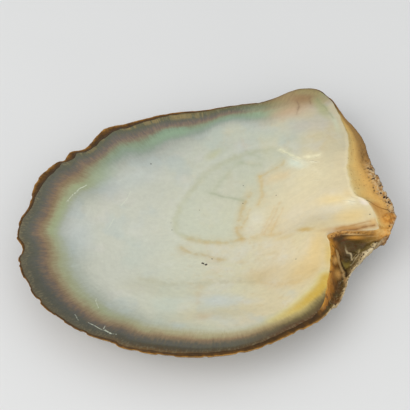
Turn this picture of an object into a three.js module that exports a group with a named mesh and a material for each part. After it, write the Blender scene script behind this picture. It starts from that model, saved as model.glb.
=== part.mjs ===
// One valve of a black-lipped pearl oyster, lying on its rounded outside with the nacre up.
// Millimetres, +Z up. +X points to the hinge and the beak, +Y to the rear wing of the hinge.
// Directions are degrees about CENTRE, anticlockwise from +X as seen from above.
import * as THREE from "three";

// Plan points that the rest is measured from
const CENTRE = [6, 0]; // the deepest point of the nacre bowl, above the spot that the shell rests on
const BEAK = [66, 2]; // the oldest shell, from which the growth lines outside spread

// Heights and thicknesses
const FLOOR_HEIGHT = 4.5; // nacre at the bottom of the bowl
const BOWL_FLARE = 1.35; // how early the bowl's wall flattens towards its rim
const DOME_FLARE = 1.2; // the same for the outside
const DOME_SINK = 0.6; // how much is worn off the outside where it rests
const BEAD_HEIGHT = 0.5; // raised bead along the nacre's edge at the hinge

// The bowl and the dome outside, as smooth waves by direction:
// [mean, first wave, direction of its peak, second wave, direction of its peaks]
const BOWL_RADIUS = [73.9, 7, -136, 5, 29];
const RIM_HEIGHT = [17, 0.6, 50, 0, 0];
const DOME_RADIUS = [75, 7, -136, 5, 29];
const DOME_HEIGHT = [15.4, 0.6, 50, 0, 0];

// The margin in plan, as points that the closed outline passes through
const OUTLINE = [
  [79.2, -2.8], [77.8, 6.3], [75.5, 13.5], [73.3, 21.3], [70.5, 30.2], [68.4, 42.3], [65, 50.5], // hinge line
  [61.9, 55.6], [59.3, 61.4], [56.2, 69], [53.5, 72.8], [50.9, 75.8], [47.5, 77.2], [42.9, 77.4], // rear wing
  [37, 75.2], [32.3, 72.2], [25.3, 69], [14.4, 67.2], [0, 64.7], [-18.2, 61.7], [-34.6, 55.8], // rear margin
  [-42.4, 52.2], [-44, 48.7], [-49.3, 41.2], [-52, 38.4], [-56.7, 37], // chipped corner
  [-60.9, 30.2], [-63.1, 30.7], [-66.9, 25.1], [-70.7, 18.7], [-72.6, 10.9], [-73.8, 4.3], // broken flakes
  [-76.4, -1.4], [-77.7, -12.7], [-75.1, -17.2], [-74.6, -20.9], [-75.9, -25.2], // bite in the lower margin
  [-73.3, -34.7], [-69.1, -43.7], [-61.2, -54.2], [-45.8, -65.8], [-35.2, -70], [-33.9, -71.6], // lower margin
  [-22.1, -75.2], [-6.9, -77.2], [9.1, -76.2], [20.3, -73.2], [35.7, -64.4], [44.1, -59.3], // front margin
  [49.6, -52.8], [53.4, -47.8], [55.8, -41.5], [57.4, -35.8], [58.7, -31.5], [60.4, -27.9], // front ear
  [63.9, -22.8], [68.5, -17.2], [73, -12.4], [76.5, -10.6], [77.5, -7.6], // back to the beak
];

// How far in from the margin the nacre ends: a narrow horny strip, the wide hinge plate and the hollow under the ear
const nacreInset = around([
  [-172, 1.3],
  [-162, 0.9],
  [-150, 0.6],
  [-120, 0.6],
  [-105, 0.8],
  [-75, 1],
  [-57, 2],
  [-50, 4.1],
  [-46, 7.2],
  [-42, 8.1],
  [-37, 8.5],
  [-31.5, 9.2],
  [-26, 11.4],
  [-20, 15.3],
  [-15.3, 18.8],
  [-12.3, 17.7],
  [-10.7, 15],
  [-9.5, 10.5],
  [-8.7, 8.2],
  [-7.6, 6.6],
  [-4.7, 6.4],
  [-0.6, 7.2],
  [3.2, 8.7],
  [5.8, 10.2],
  [7.6, 12.5],
  [12, 13.5],
  [18, 13.1],
  [26.5, 11.3],
  [33.3, 9],
  [38.9, 6],
  [42.6, 3.8],
  [46.8, 2.3],
  [54, 1.1],
  [66, 0.8],
  [100, 0.7],
  [120, 1],
  [128, 1.8],
  [134, 2.6],
  [140, 1.2],
  [146, 1],
  [151, 2],
  [155, 0.5],
  [158, 2.2],
  [166, 2.1],
  [176, 1],
]);

// The margin by direction, each a distance: how far it is below the nacre's edge, how far the surface between them
// dips, how thick the edge is, and how far in its lower side lies
const DROP = 1;
const DIP = 2;
const THICKNESS = 3;
const UNDERCUT = 4;
const edge = around([
  [-180, 0.4, 0, 1.5, 0.5],
  [-60, 0.4, 0, 1.5, 0.6],
  [-52, 1, 0.3, 1.9, 0.8],
  [-46, 2.4, 1.2, 2.4, 0.9],
  [-40, 3.8, 2.6, 2.8, 1],
  [-30, 4.4, 4, 3, 1],
  [-20, 4.2, 4.6, 3.4, 1.1],
  [-12, 3.4, 3.2, 4.4, 1.3],
  [-9, 1.5, 1.8, 6, 1.5],
  [-7, 0.2, 0.8, 7, 1.6],
  [-2, 0, 0.7, 7.4, 1.6],
  [4, 0.3, 1, 7.2, 1.6],
  [12, 0.3, 1.3, 6.8, 1.6],
  [26, 0.2, 1.2, 6.2, 1.5],
  [40, 0, 0.6, 5, 1.2],
  [50, 0.3, 0.2, 3.2, 0.8],
  [60, 0.5, 0, 2, 0.6],
  [72, 0.4, 0, 1.6, 0.5],
  [100, 0.4, 0, 1.5, 0.5],
]);

// Lines that the nacre rises to, and how far off the rise starts: the hinge and the two sides of the notch below it
const RIDGES = [
  { line: [[52, 76], [60.5, 50], [61, 16], [72, -2]], height: 18.4, reach: 18 },
  { line: [[72, -9], [50.5, -12.2]], height: 17, reach: 11 },
  { line: [[50.5, -12.2], [50.6, -27], [48.8, -44]], height: 16.4, reach: 13 },
];

// Lines along which the outside bulges down: under the hinge and under the ear
const BULGES = [
  { line: [[72, -4], [74, 12], [66, 44]], depth: 2.2, reach: 13 },
  { line: [[68, -12], [52, -46]], depth: 4.6, reach: 11 },
];

// The knob of old shell at the beak
const KNOB = { at: [76, -3], radius: 4.2, height: 1.1 };

// Growth layers outside: each ends in a ragged step, and they are worn off near the beak and where the shell rests
const LAYERS = 8;
const FIRST_LAYER = 0.21;
const LAST_LAYER = 0.95;
const LAYER_HEIGHT = 0.9;
const LAYER_SPREAD = 0.85;
const LAYER_LENGTHS = [0.06, 0.55, 0.96]; // rings of each layer, as shares of its length
const LAYER_RISES = [0, 0.45, 1]; // how much of its height each ring has
const RAGGED = 0.012;
const REST_REACH = 26;

// Mesh columns: [first direction, last direction, columns], closest where the hinge and the notch are
const COLUMNS = [
  [-56, -20, 12],
  [-20, -4, 11],
  [-4, 64, 25],
  [64, 304, 66],
];
const CORE_RINGS = [0.3, 0.55, 0.78, 1]; // out to a smooth core, clear of the notch
const CORE_SHARE = 0.62; // the core's share of the bowl's radius
const NACRE_RINGS = [0.3, 0.58, 0.82, 1]; // from the core to the nacre's edge
const BEYOND_RINGS = [0.12, 0.38, 0.7, 1];
const WALL_RINGS = [0.5, 1];
const BEAK_RINGS = [0.04, 0.09];

const DEG = Math.PI / 180;
const mix = (a, b, t) => a + (b - a) * t;
const smooth = (t) => {
  const u = Math.min(1, Math.max(0, t));
  return u * u * (3 - 2 * u);
};

// A closed smooth function of direction through a table's rows, which overshoots none of them
function around(rows) {
  const count = rows.length;
  const row = (i) => rows[((i % count) + count) % count];
  const at = (i) => row(i)[0] + 360 * Math.floor(i / count);
  const secant = (i, c) => (row(i + 1)[c] - row(i)[c]) / (at(i + 1) - at(i));
  const slope = (i, c) => {
    const before = secant(i - 1, c);
    const after = secant(i, c);
    return before * after > 0 ? (2 * before * after) / (before + after) : 0;
  };
  return (direction, c = 1) => {
    const turned = direction - 360 * Math.floor((direction - at(0)) / 360);
    let i = 0;
    while (at(i + 1) <= turned) i++;
    const span = at(i + 1) - at(i);
    const t = (turned - at(i)) / span;
    const eased = t * t * (3 - 2 * t);
    const lean = t * (1 - t) * ((1 - t) * slope(i, c) - t * slope(i + 1, c));
    return mix(row(i)[c], row(i + 1)[c], eased) + span * lean;
  };
}

const directionOf = (x, y) => Math.atan2(y - CENTRE[1], x - CENTRE[0]) / DEG;
const radiusOf = (x, y) => Math.hypot(x - CENTRE[0], y - CENTRE[1]);

// The margin's radius by direction, from the outline's curve
function marginOf(points) {
  const corners = points.map(([x, y]) => new THREE.Vector3(x, y, 0));
  const curve = new THREE.CatmullRomCurve3(corners, true, "centripetal");
  const rows = curve.getPoints(points.length * 6).slice(0, -1);
  const polar = rows.map(({ x, y }) => [directionOf(x, y), radiusOf(x, y)]);
  return around(polar.sort((a, b) => a[0] - b[0]));
}
const margin = marginOf(OUTLINE);

// A ragged wave round the shell, between about -1 and 1
function ragged(direction, seed) {
  const a = direction * DEG;
  return (Math.sin(7 * a + 1.7 * seed) + Math.sin(13 * a + 2.9 * seed) + Math.sin(23 * a + 4.1 * seed)) / 3;
}

// Distance in plan from a point to a chain of straight pieces
function distanceTo(chain, x, y) {
  const gaps = chain.slice(1).map(([bx, by], i) => {
    const [ax, ay] = chain[i];
    const length = (bx - ax) ** 2 + (by - ay) ** 2;
    const t = Math.min(1, Math.max(0, ((x - ax) * (bx - ax) + (y - ay) * (by - ay)) / length));
    return Math.hypot(x - mix(ax, bx, t), y - mix(ay, by, t));
  });
  return Math.min(...gaps);
}

// Smooth waves by direction: a mean, a wave with one peak and a wave with two
function wave(direction, [mean, first, firstPeak, second, secondPeaks]) {
  const once = Math.cos((direction - firstPeak) * DEG);
  const twice = Math.cos(2 * (direction - secondPeaks) * DEG);
  return mean + first * once + second * twice;
}

// Height of a dish at a plan point, flat beyond its radius
function dishHeight(x, y, floor, radius, rim, flare) {
  const direction = directionOf(x, y);
  const share = Math.min(1, radiusOf(x, y) / wave(direction, radius));
  return mix(floor, wave(direction, rim), 1 - (1 - share ** 2) ** flare);
}

const nearness = ({ line, reach }, x, y) => Math.exp(-((distanceTo(line, x, y) / reach) ** 2));

// The nacre bowl, which also rises to its ridges
function nacreHeight(x, y) {
  const bowl = dishHeight(x, y, FLOOR_HEIGHT, BOWL_RADIUS, RIM_HEIGHT, BOWL_FLARE);
  const near = RIDGES.map((ridge) => nearness(ridge, x, y));
  const total = near.reduce((sum, share) => sum + share, 1e-9);
  const height = near.reduce((sum, share, i) => sum + share * RIDGES[i].height, 0) / total;
  const flat = near.reduce((product, share) => product * (1 - share), 1);
  return mix(height, bowl, flat);
}

// The dome outside, before its growth layers
function domeHeight(x, y) {
  const dome = dishHeight(x, y, -DOME_SINK, DOME_RADIUS, DOME_HEIGHT, DOME_FLARE);
  return BULGES.reduce((height, bulge) => height - bulge.depth * nearness(bulge, x, y), dome);
}

// A point at a radius and direction about the centre
const place = (direction, radius, height) => [
  CENTRE[0] + radius * Math.cos(direction * DEG),
  CENTRE[1] + radius * Math.sin(direction * DEG),
  height,
];

// A point of the nacre: at a share of the way out to the core, or from the core to the nacre's edge
function nacrePoint(direction, toCore, toEdge) {
  const core = CORE_SHARE * wave(direction, BOWL_RADIUS);
  const radius = mix(core * toCore, margin(direction) - nacreInset(direction), toEdge);
  const [x, y] = place(direction, radius, 0);
  return [x, y, nacreHeight(x, y)];
}

// The surface beyond the nacre's edge, at a share of the way out to the margin
function beyondPoint(direction, share) {
  const outer = margin(direction);
  const inset = nacreInset(direction);
  const [ex, ey] = place(direction, outer - inset, 0);
  const bead = BEAD_HEIGHT * smooth((inset - 2) / 4) * (1 - smooth(share * 3));
  const drop = edge(direction, DROP) * smooth(share * 2);
  const dip = edge(direction, DIP) * Math.sin(Math.PI * share);
  const [x, y] = place(direction, outer - inset * (1 - share), 0);
  const knob = KNOB.height * smooth(1 - Math.hypot(x - KNOB.at[0], y - KNOB.at[1]) / KNOB.radius);
  return [x, y, nacreHeight(ex, ey) + bead - drop - dip + knob];
}

// The edge wall between the margin and the outside
function wallPoint(direction, share) {
  const top = beyondPoint(direction, 1);
  const radius = margin(direction) - edge(direction, UNDERCUT) * share ** 2;
  return place(direction, radius, top[2] - edge(direction, THICKNESS) * share);
}

// The growth line where a layer ends, as a share of the way from the beak to the margin
function layerEnd(layer, direction) {
  if (layer < 0) return BEAK_RINGS.at(-1);
  if (layer === LAYERS) return 1;
  const share = (layer / (LAYERS - 1)) ** LAYER_SPREAD;
  return mix(FIRST_LAYER, LAST_LAYER, share) + RAGGED * ragged(direction, layer);
}

// A point of the outside on a growth line, standing proud of the dome by part of a layer's height
function outsidePoint(direction, growth, rise) {
  const end = wallPoint(direction, 1);
  const x = mix(BEAK[0], end[0], growth);
  const y = mix(BEAK[1], end[1], growth);
  const worn = smooth((radiusOf(x, y) - REST_REACH / 2) / (REST_REACH / 2));
  const proud = rise * LAYER_HEIGHT * worn * smooth((1 - growth) / 0.04);
  const height = mix(domeHeight(x, y), end[2], smooth((growth - 0.86) / 0.14)) - proud;
  return [x, y, Math.max(0, height)];
}

// All rings of points, from the bowl's centre over the margin to the beak outside
function shellRings(directions) {
  const ring = (point) => directions.map(point);
  const rings = CORE_RINGS.map((share) => ring((d) => nacrePoint(d, share, 0)));
  rings.push(...NACRE_RINGS.map((share) => ring((d) => (share < 1 ? nacrePoint(d, 1, share) : beyondPoint(d, 0)))));
  rings.push(...BEYOND_RINGS.map((share) => ring((d) => beyondPoint(d, share))));
  rings.push(...WALL_RINGS.map((share) => ring((d) => wallPoint(d, share))));
  for (let layer = LAYERS; layer >= 0; layer--) {
    for (const i of [2, 1, 0]) {
      if (layer === LAYERS && i === 2) continue;
      rings.push(
        ring((d) => {
          const growth = mix(layerEnd(layer - 1, d), layerEnd(layer, d), LAYER_LENGTHS[i]);
          return outsidePoint(d, growth, layer < LAYERS ? LAYER_RISES[i] : 0);
        }),
      );
    }
  }
  rings.push(...BEAK_RINGS.toReversed().map((growth) => ring((d) => outsidePoint(d, growth, 0))));
  return rings;
}

// A closed surface over rings of points, with a point at each end
function closedSurface(first, rings, last) {
  const columns = rings[0].length;
  const positions = [first, ...rings.flat(), last].flat();
  const at = (ring, column) => 1 + ring * columns + (column % columns);
  const end = 1 + rings.length * columns;
  const faces = [];
  for (let c = 0; c < columns; c++) {
    faces.push(0, at(0, c), at(0, c + 1));
    for (let r = 0; r < rings.length - 1; r++) {
      faces.push(at(r, c), at(r + 1, c), at(r + 1, c + 1), at(r, c), at(r + 1, c + 1), at(r, c + 1));
    }
    faces.push(at(rings.length - 1, c), end, at(rings.length - 1, c + 1));
  }
  const geometry = new THREE.BufferGeometry();
  geometry.setAttribute("position", new THREE.Float32BufferAttribute(positions, 3));
  geometry.setIndex(faces);
  return geometry;
}

// The valve's geometry, with its bounding box centred over the origin in plan
function valveGeometry() {
  const directions = COLUMNS.flatMap(([from, to, count]) =>
    Array.from({ length: count }, (_, i) => mix(from, to, i / count)),
  );
  const first = [...CENTRE, nacreHeight(...CENTRE)];
  const last = [...BEAK, domeHeight(...BEAK)];
  const geometry = closedSurface(first, shellRings(directions), last);
  geometry.computeBoundingBox();
  const middle = geometry.boundingBox.getCenter(new THREE.Vector3());
  geometry.translate(-middle.x, -middle.y, 0);
  geometry.computeVertexNormals();
  return geometry;
}

const shell = new THREE.Mesh(
  valveGeometry(),
  new THREE.MeshStandardMaterial({ color: 0xcfcdb6, roughness: 0.35, metalness: 0 }),
);
shell.name = "shell";

const oyster = new THREE.Group();
oyster.add(shell);

export default oyster;
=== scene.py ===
"""One valve of a black-lipped pearl oyster, nacre up, on a pale table in soft light from the upper left."""

import logging
import math
from dataclasses import dataclass, field
from enum import Enum
from functools import reduce
from itertools import pairwise, product

import bpy
import numpy as np
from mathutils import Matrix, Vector


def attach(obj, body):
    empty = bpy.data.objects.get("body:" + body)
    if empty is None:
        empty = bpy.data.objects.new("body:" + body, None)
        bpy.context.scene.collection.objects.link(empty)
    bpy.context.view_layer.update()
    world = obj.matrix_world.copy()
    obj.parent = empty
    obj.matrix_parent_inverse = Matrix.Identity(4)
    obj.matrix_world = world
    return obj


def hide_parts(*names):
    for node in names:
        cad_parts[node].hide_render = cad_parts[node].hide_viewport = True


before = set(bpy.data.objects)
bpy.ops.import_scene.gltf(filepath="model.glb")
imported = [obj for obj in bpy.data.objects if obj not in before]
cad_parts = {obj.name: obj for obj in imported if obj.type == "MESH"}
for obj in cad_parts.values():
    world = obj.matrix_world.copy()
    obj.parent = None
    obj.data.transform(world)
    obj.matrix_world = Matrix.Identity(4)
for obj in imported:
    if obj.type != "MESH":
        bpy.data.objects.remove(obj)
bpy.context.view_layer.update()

LOG = logging.getLogger("oyster")
MM = 0.001

# Plan points in millimetres, before the shell is centred over the origin
CENTRE = np.array([6.0, 0.0])
BEAK = np.array([66.0, 2.0])

# Large numbers that turn a cell's place and a seed into a value that looks random
CELL_FACTORS = (73856093, 19349663, 83492791)
SEED_FACTOR = 2654435
STIR_FACTOR = 1274126177
WORD = 0xFFFFFFFF
HALF_WORD = 0xFFFF

# How far a lump reaches, in units of the lumps' spacing
LUMP_REACH = 0.95

# Radius of the circle that the rim is drawn out on for streaks, in millimetres
RIM_RADIUS = 75

# Two numbers, mostly a plan point in millimetres
Pair = tuple[float, float]
# Plan points in order
Chain = tuple[Pair, ...]
# Places from 0 to 1 and the colours there, in hexadecimal digits
Stops = tuple[tuple[float, str], ...]
Socket = bpy.types.NodeSocket
# A link that carries a colour, or a colour's hexadecimal digits
Colour = Socket | str


def linear(code: str) -> tuple[float, float, float, float]:
    """Turns a colour as it looks on a screen into the linear colour that a shader takes.

    Args:
        code: six hexadecimal digits, two each for red, green and blue.

    Returns:
        Red, green, blue and a full alpha.
    """
    shares = [int(code[i : i + 2], 16) / 255 for i in (0, 2, 4)]
    red, green, blue = (s / 12.92 if s <= 0.04045 else ((s + 0.055) / 1.055) ** 2.4 for s in shares)
    return red, green, blue, 1.0


def smooth(share: np.ndarray) -> np.ndarray:
    """Eases a share from 0 to 1, flat at both ends.

    Args:
        share: numbers, which are held between 0 and 1 first.

    Returns:
        The eased numbers.
    """
    held = np.clip(share, 0, 1)
    return held * held * (3 - 2 * held)


def mix(low: np.ndarray, high: np.ndarray, share: np.ndarray) -> np.ndarray:
    """Goes a share of the way from low to high."""
    return low + (high - low) * share


def scatter(key: np.ndarray, seed: int) -> np.ndarray:
    """A random share for each cell of space, the same each time.

    Args:
        key: whole numbers, whose last axis is the cell's x, y and z.
        seed: which of the many fields of values.

    Returns:
        A value from 0 to 1 for each cell.
    """
    code = seed * SEED_FACTOR
    for axis, factor in enumerate(CELL_FACTORS):
        code = code ^ key[..., axis] * factor
    code = (code ^ (code >> 13)) * STIR_FACTOR & WORD
    return ((code ^ (code >> 16)) & HALF_WORD) / HALF_WORD


def lumps(points: np.ndarray, seed: int) -> np.ndarray:
    """Rounded lumps packed over space, the same each time.

    Args:
        points: an array of points, whose last axis is x, y and z in units of one lump.
        seed: which of the many fields of values.

    Returns:
        A value from 0 between the lumps to 1 at their middles.
    """
    cell = np.floor(points).astype(np.int64)
    nearest = np.full(points.shape[:-1], np.inf)
    for corner in product((-1, 0, 1), repeat=3):
        key = cell + np.array(corner)
        middle = key + np.stack([scatter(key, seed + axis) for axis in range(3)], axis=-1)
        nearest = np.minimum(nearest, np.linalg.norm(points - middle, axis=-1))
    return 1 - smooth(nearest / LUMP_REACH)


def grain(points: np.ndarray, seed: int) -> np.ndarray:
    """Smooth random values over space, the same each time.

    Args:
        points: an array of points, whose last axis is x, y and z in units of one grain.
        seed: which of the many fields of values.

    Returns:
        A value between -1 and 1 for each point.
    """
    cell = np.floor(points).astype(np.int64)
    ease = points - cell
    ease = ease * ease * (3 - 2 * ease)
    total = np.zeros(points.shape[:-1])
    for corner in product((0, 1), repeat=3):
        weight = np.where(np.array(corner) == 1, ease, 1 - ease).prod(axis=-1)
        total += weight * scatter(cell + np.array(corner), seed)
    return total * 2 - 1


@dataclass(frozen=True)
class Rough:
    """Random relief of one height and size, in millimetres, with the seed of its own pattern."""

    height: float
    size: float
    seed: int

    def lumpy(self, points: np.ndarray) -> np.ndarray:
        """Height of the relief as round lumps."""
        return self.height * lumps(points / self.size, self.seed)

    def grainy(self, points: np.ndarray) -> np.ndarray:
        """Height of the relief as smooth waves up and down."""
        return self.height * grain(points / self.size, self.seed)


def even_steps(count: int) -> np.ndarray:
    """A column of evenly spaced shares, from the first step above 0 to 1."""
    return np.linspace(0, 1, count + 1)[1:, None]


class Round:
    """Values that change smoothly by direction, through the rows of a table that it never overshoots."""

    def __init__(self, rows: list[tuple[float, ...]]) -> None:
        """Works out the slopes at the rows.

        Args:
            rows: a direction in degrees, rising, then one or more values.
        """
        table = np.array(rows, float)
        self.at = np.append(table[:, 0], table[0, 0] + 360)
        self.values = np.vstack([table[:, 1:], table[:1, 1:]])
        secants = np.diff(self.values, axis=0) / np.diff(self.at)[:, None]
        before = np.roll(secants, 1, axis=0)
        same = before * secants > 0
        slopes = np.where(same, 2 * before * secants / np.where(same, before + secants, 1), 0)
        self.slopes = np.vstack([slopes, slopes[:1]])

    def __call__(self, direction: np.ndarray, column: int = 0) -> np.ndarray:
        """Reads one column of the table.

        Args:
            direction: directions in degrees.
            column: which of the row's values.

        Returns:
            The value at each direction.
        """
        turned = direction - 360 * np.floor((direction - self.at[0]) / 360)
        i = np.clip(np.searchsorted(self.at, turned, side="right") - 1, 0, len(self.at) - 2)
        span = self.at[i + 1] - self.at[i]
        t = (turned - self.at[i]) / span
        low, high = self.values[i, column], self.values[i + 1, column]
        lean = t * (1 - t) * ((1 - t) * self.slopes[i, column] - t * self.slopes[i + 1, column])
        return mix(low, high, t * t * (3 - 2 * t)) + span * lean


def direction_of(plan: np.ndarray) -> np.ndarray:
    """Direction of plan points about the centre, in degrees."""
    return np.degrees(np.arctan2(plan[..., 1] - CENTRE[1], plan[..., 0] - CENTRE[0]))


def radius_of(plan: np.ndarray) -> np.ndarray:
    """Distance of plan points from the centre, in millimetres."""
    return np.hypot(plan[..., 0] - CENTRE[0], plan[..., 1] - CENTRE[1])


def place(direction: np.ndarray, radius: np.ndarray) -> np.ndarray:
    """Plan points at directions and radii about the centre."""
    turn = np.radians(direction)
    return np.stack([CENTRE[0] + radius * np.cos(turn), CENTRE[1] + radius * np.sin(turn)], axis=-1)


def in_space(plan: np.ndarray) -> np.ndarray:
    """Plan points as points in space at height 0."""
    return np.concatenate([plan, np.zeros_like(plan[..., :1])], axis=-1)


def distance_to(line: Chain, plan: np.ndarray) -> np.ndarray:
    """Distance in plan from points to a chain of straight pieces.

    Args:
        line: the chain's points.
        plan: the plan points.

    Returns:
        The distance of each point, in millimetres.
    """
    nearest = np.full(plan.shape[:-1], np.inf)
    for start, end in pairwise(line):
        a, b = np.array(start, float), np.array(end, float)
        t = np.clip(((plan - a) @ (b - a)) / ((b - a) @ (b - a)), 0, 1)
        gap = plan - a - t[..., None] * (b - a)
        nearest = np.minimum(nearest, np.hypot(gap[..., 0], gap[..., 1]))
    return nearest


def signed_distance(ring: Chain, plan: np.ndarray) -> np.ndarray:
    """Distance in plan from points to a closed outline, negative inside it.

    Args:
        ring: the outline's corners.
        plan: the plan points.

    Returns:
        The signed distance of each point, in millimetres.
    """
    inside = np.zeros(plan.shape[:-1], bool)
    x, y = plan[..., 0], plan[..., 1]
    for (ax, ay), (bx, by) in zip(ring, ring[1:] + ring[:1]):
        crosses = (ay > y) != (by > y)
        reach = ax + (y - ay) * (bx - ax) / (by - ay if by != ay else 1)
        inside ^= crosses & (x < reach)
    return np.where(inside, -1, 1) * distance_to(ring + ring[:1], plan)


def curve_through(points: Chain, steps: int) -> np.ndarray:
    """Samples a closed centripetal spline.

    Args:
        points: the points that it passes through.
        steps: samples for each stretch between two points.

    Returns:
        The samples, in order.
    """
    knots = np.array(points, float)
    p0, p1, p2, p3 = (np.roll(knots, shift, axis=0) for shift in (1, 0, -1, -2))
    gap0, gap1, gap2 = (
        np.sqrt(np.linalg.norm(b - a, axis=1))[:, None] for a, b in ((p0, p1), (p1, p2), (p2, p3))
    )
    leave = ((p1 - p0) / gap0 - (p2 - p0) / (gap0 + gap1) + (p2 - p1) / gap1) * gap1
    arrive = ((p2 - p1) / gap1 - (p3 - p1) / (gap1 + gap2) + (p3 - p2) / gap2) * gap1
    t = (np.arange(steps) / steps)[None, :, None]
    c0, c1 = p1[:, None], leave[:, None]
    c2 = (-3 * p1 + 3 * p2 - 2 * leave - arrive)[:, None]
    c3 = (2 * p1 - 2 * p2 + leave + arrive)[:, None]
    return (c0 + c1 * t + c2 * t**2 + c3 * t**3).reshape(-1, 2)


@dataclass
class Margin:
    """The shell's outline in plan, and how the surface runs from the nacre's edge to the outermost edge."""

    outline: Chain = (
        (79.2, -2.8), (77.8, 6.3), (75.5, 13.5), (73.3, 21.3), (70.5, 30.2), (68.4, 42.3), (65, 50.5),
        (61.9, 55.6), (59.3, 61.4), (56.2, 69), (53.5, 72.8), (50.9, 75.8), (47.5, 77.2), (42.9, 77.4),
        (37, 75.2), (32.3, 72.2), (25.3, 69), (14.4, 67.2), (0, 64.7), (-18.2, 61.7), (-34.6, 55.8),
        (-42.9, 53), (-46.6, 48.4), (-50, 43), (-52.8, 39.9), (-57.7, 38),
        (-60.6, 33), (-62.8, 31.9), (-67.2, 27.2), (-71.2, 20.4), (-72.8, 12), (-73.8, 4.3),
        (-76.4, -1.4), (-77.7, -12.7), (-75.1, -17.2), (-74.6, -20.9), (-75.9, -25.2),
        (-73.3, -34.7), (-69.1, -43.7), (-61.2, -54.2), (-45.8, -65.8), (-35.2, -70), (-33.9, -71.6),
        (-22.1, -75.2), (-6.9, -77.2), (9.1, -76.2), (20.3, -73.2), (35.7, -64.4), (44.1, -59.3),
        (49.6, -52.8), (53.4, -47.8), (55.8, -41.5), (57.4, -35.8), (58.7, -31.5), (60.4, -27.9),
        (63.9, -22.8), (68.5, -17.2), (73, -12.4), (76.5, -10.6), (77.5, -7.6),
    )
    # Direction, how far in the nacre ends
    nacre_inset: Round = Round([
        (-172, 1.4), (-162, 1.1), (-150, 0.8), (-130, 0.9), (-120, 1.3), (-105, 1.7), (-92, 2),
        (-75, 2.4), (-62, 2.8), (-55, 3.4), (-50, 4.6), (-46, 7.2), (-42, 8.1), (-37, 8.5),
        (-31.5, 9.2), (-26, 11.4), (-20, 15.3), (-15.3, 18.8), (-12.6, 17.7), (-11.2, 14.4),
        (-10.2, 9), (-9.4, 6.1), (-8.3, 5.6), (-6.5, 6.4), (-4, 8.1), (-1.5, 9.2), (1, 9.6),
        (4.7, 9.9), (7, 11.2), (9.4, 13.8), (12, 14), (18, 13.1), (26.5, 11.3), (33.3, 9),
        (38.9, 6), (42.6, 3.8), (46.8, 2.3), (54, 1.1), (66, 0.9), (85, 1.1), (100, 1.6),
        (112, 2.1), (120, 2.9), (128, 3.9), (134, 4.6), (140, 3.4), (146, 2.8), (151, 3.6),
        (155, 2.2), (158, 3.9), (166, 3.6), (176, 1.7),
    ])
    # Direction, then the edge's drop below the nacre, the dip between them, its thickness and its undercut
    edge: Round = Round([
        (-180, 0.4, 0, 1.2, 0.7), (-60, 0.4, 0, 1.2, 0.8), (-52, 1, 0.3, 1.8, 0.9),
        (-46, 2.4, 1.2, 2.4, 0.9), (-40, 3.8, 2.6, 2.8, 1), (-30, 4.4, 4, 3, 1),
        (-20, 4.2, 4.6, 3.4, 1.1), (-12, 3.4, 3.2, 4.4, 1.3), (-9, 1.5, 1.8, 6, 1.5),
        (-7, 0.2, 0.8, 7, 1.6), (-2, 0, 0.7, 7.4, 1.6), (4, 0.3, 1, 7.2, 1.6), (12, 0.3, 1.3, 6.8, 1.6),
        (26, 0.2, 1.2, 6.2, 1.5), (40, 0, 0.6, 5, 1.2), (50, 0.3, 0.2, 3.2, 0.8), (60, 0.5, 0, 2, 0.6),
        (72, 0.4, 0, 1.6, 0.5), (100, 0.4, 0, 1.5, 0.5),
    ])
    # Direction, how deep the chips along the edge are
    chips: Round = Round([
        (-170, 0.9), (-130, 0.7), (-95, 0.6), (-60, 0.7), (-45, 0.9), (-15, 0.9), (0, 0.6), (12, 0.7),
        (30, 0.5), (45, 0.3), (62, 0.25), (75, 0.3), (110, 0.25), (128, 0.35), (150, 0.4), (165, 0.5),
    ])
    outline_steps: int = 6
    # Directions where the growing margin starts, at the rear wing, and ends, at the front ear
    growing: Pair = (60, 314)
    # Size in millimetres of the raggedness and the flakes, and their shares of the chips' depth
    ragged_size: float = 1.3
    flake_size: float = 3.4
    ragged_share: float = 0.45
    flake_share: float = 0.75
    sampled: np.ndarray = field(init=False)
    radius: Round = field(init=False)

    def __post_init__(self) -> None:
        """Samples the outline and turns it into a radius by direction."""
        self.sampled = curve_through(self.outline, self.outline_steps)
        polar = np.column_stack([direction_of(self.sampled), radius_of(self.sampled)])
        self.radius = Round([tuple(row) for row in polar[np.argsort(polar[:, 0])]])

    def open_edge(self) -> Chain:
        """The growing margin alone, from the rear wing round to the front ear.

        Returns:
            Its points, without the hinge and the notch.
        """
        turned = direction_of(self.sampled) % 360
        start, end = self.growing
        kept = self.sampled[(turned > start) & (turned < end)]
        order = np.argsort(direction_of(kept) % 360)
        return tuple(tuple(point) for point in kept[order])

    def chipped(self, direction: np.ndarray) -> np.ndarray:
        """The radius with its fine raggedness and chips.

        Args:
            direction: directions in degrees.

        Returns:
            The radius of each, never outside the outline.
        """
        spots = in_space(place(direction, self.radius(direction)))
        ragged = 0.5 + 0.5 * grain(spots / self.ragged_size, 3)
        flakes = smooth((grain(spots / self.flake_size, 5) - 0.15) / 0.25)
        depth = self.ragged_share * ragged + self.flake_share * flakes
        return self.radius(direction) - self.chips(direction) * depth


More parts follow.
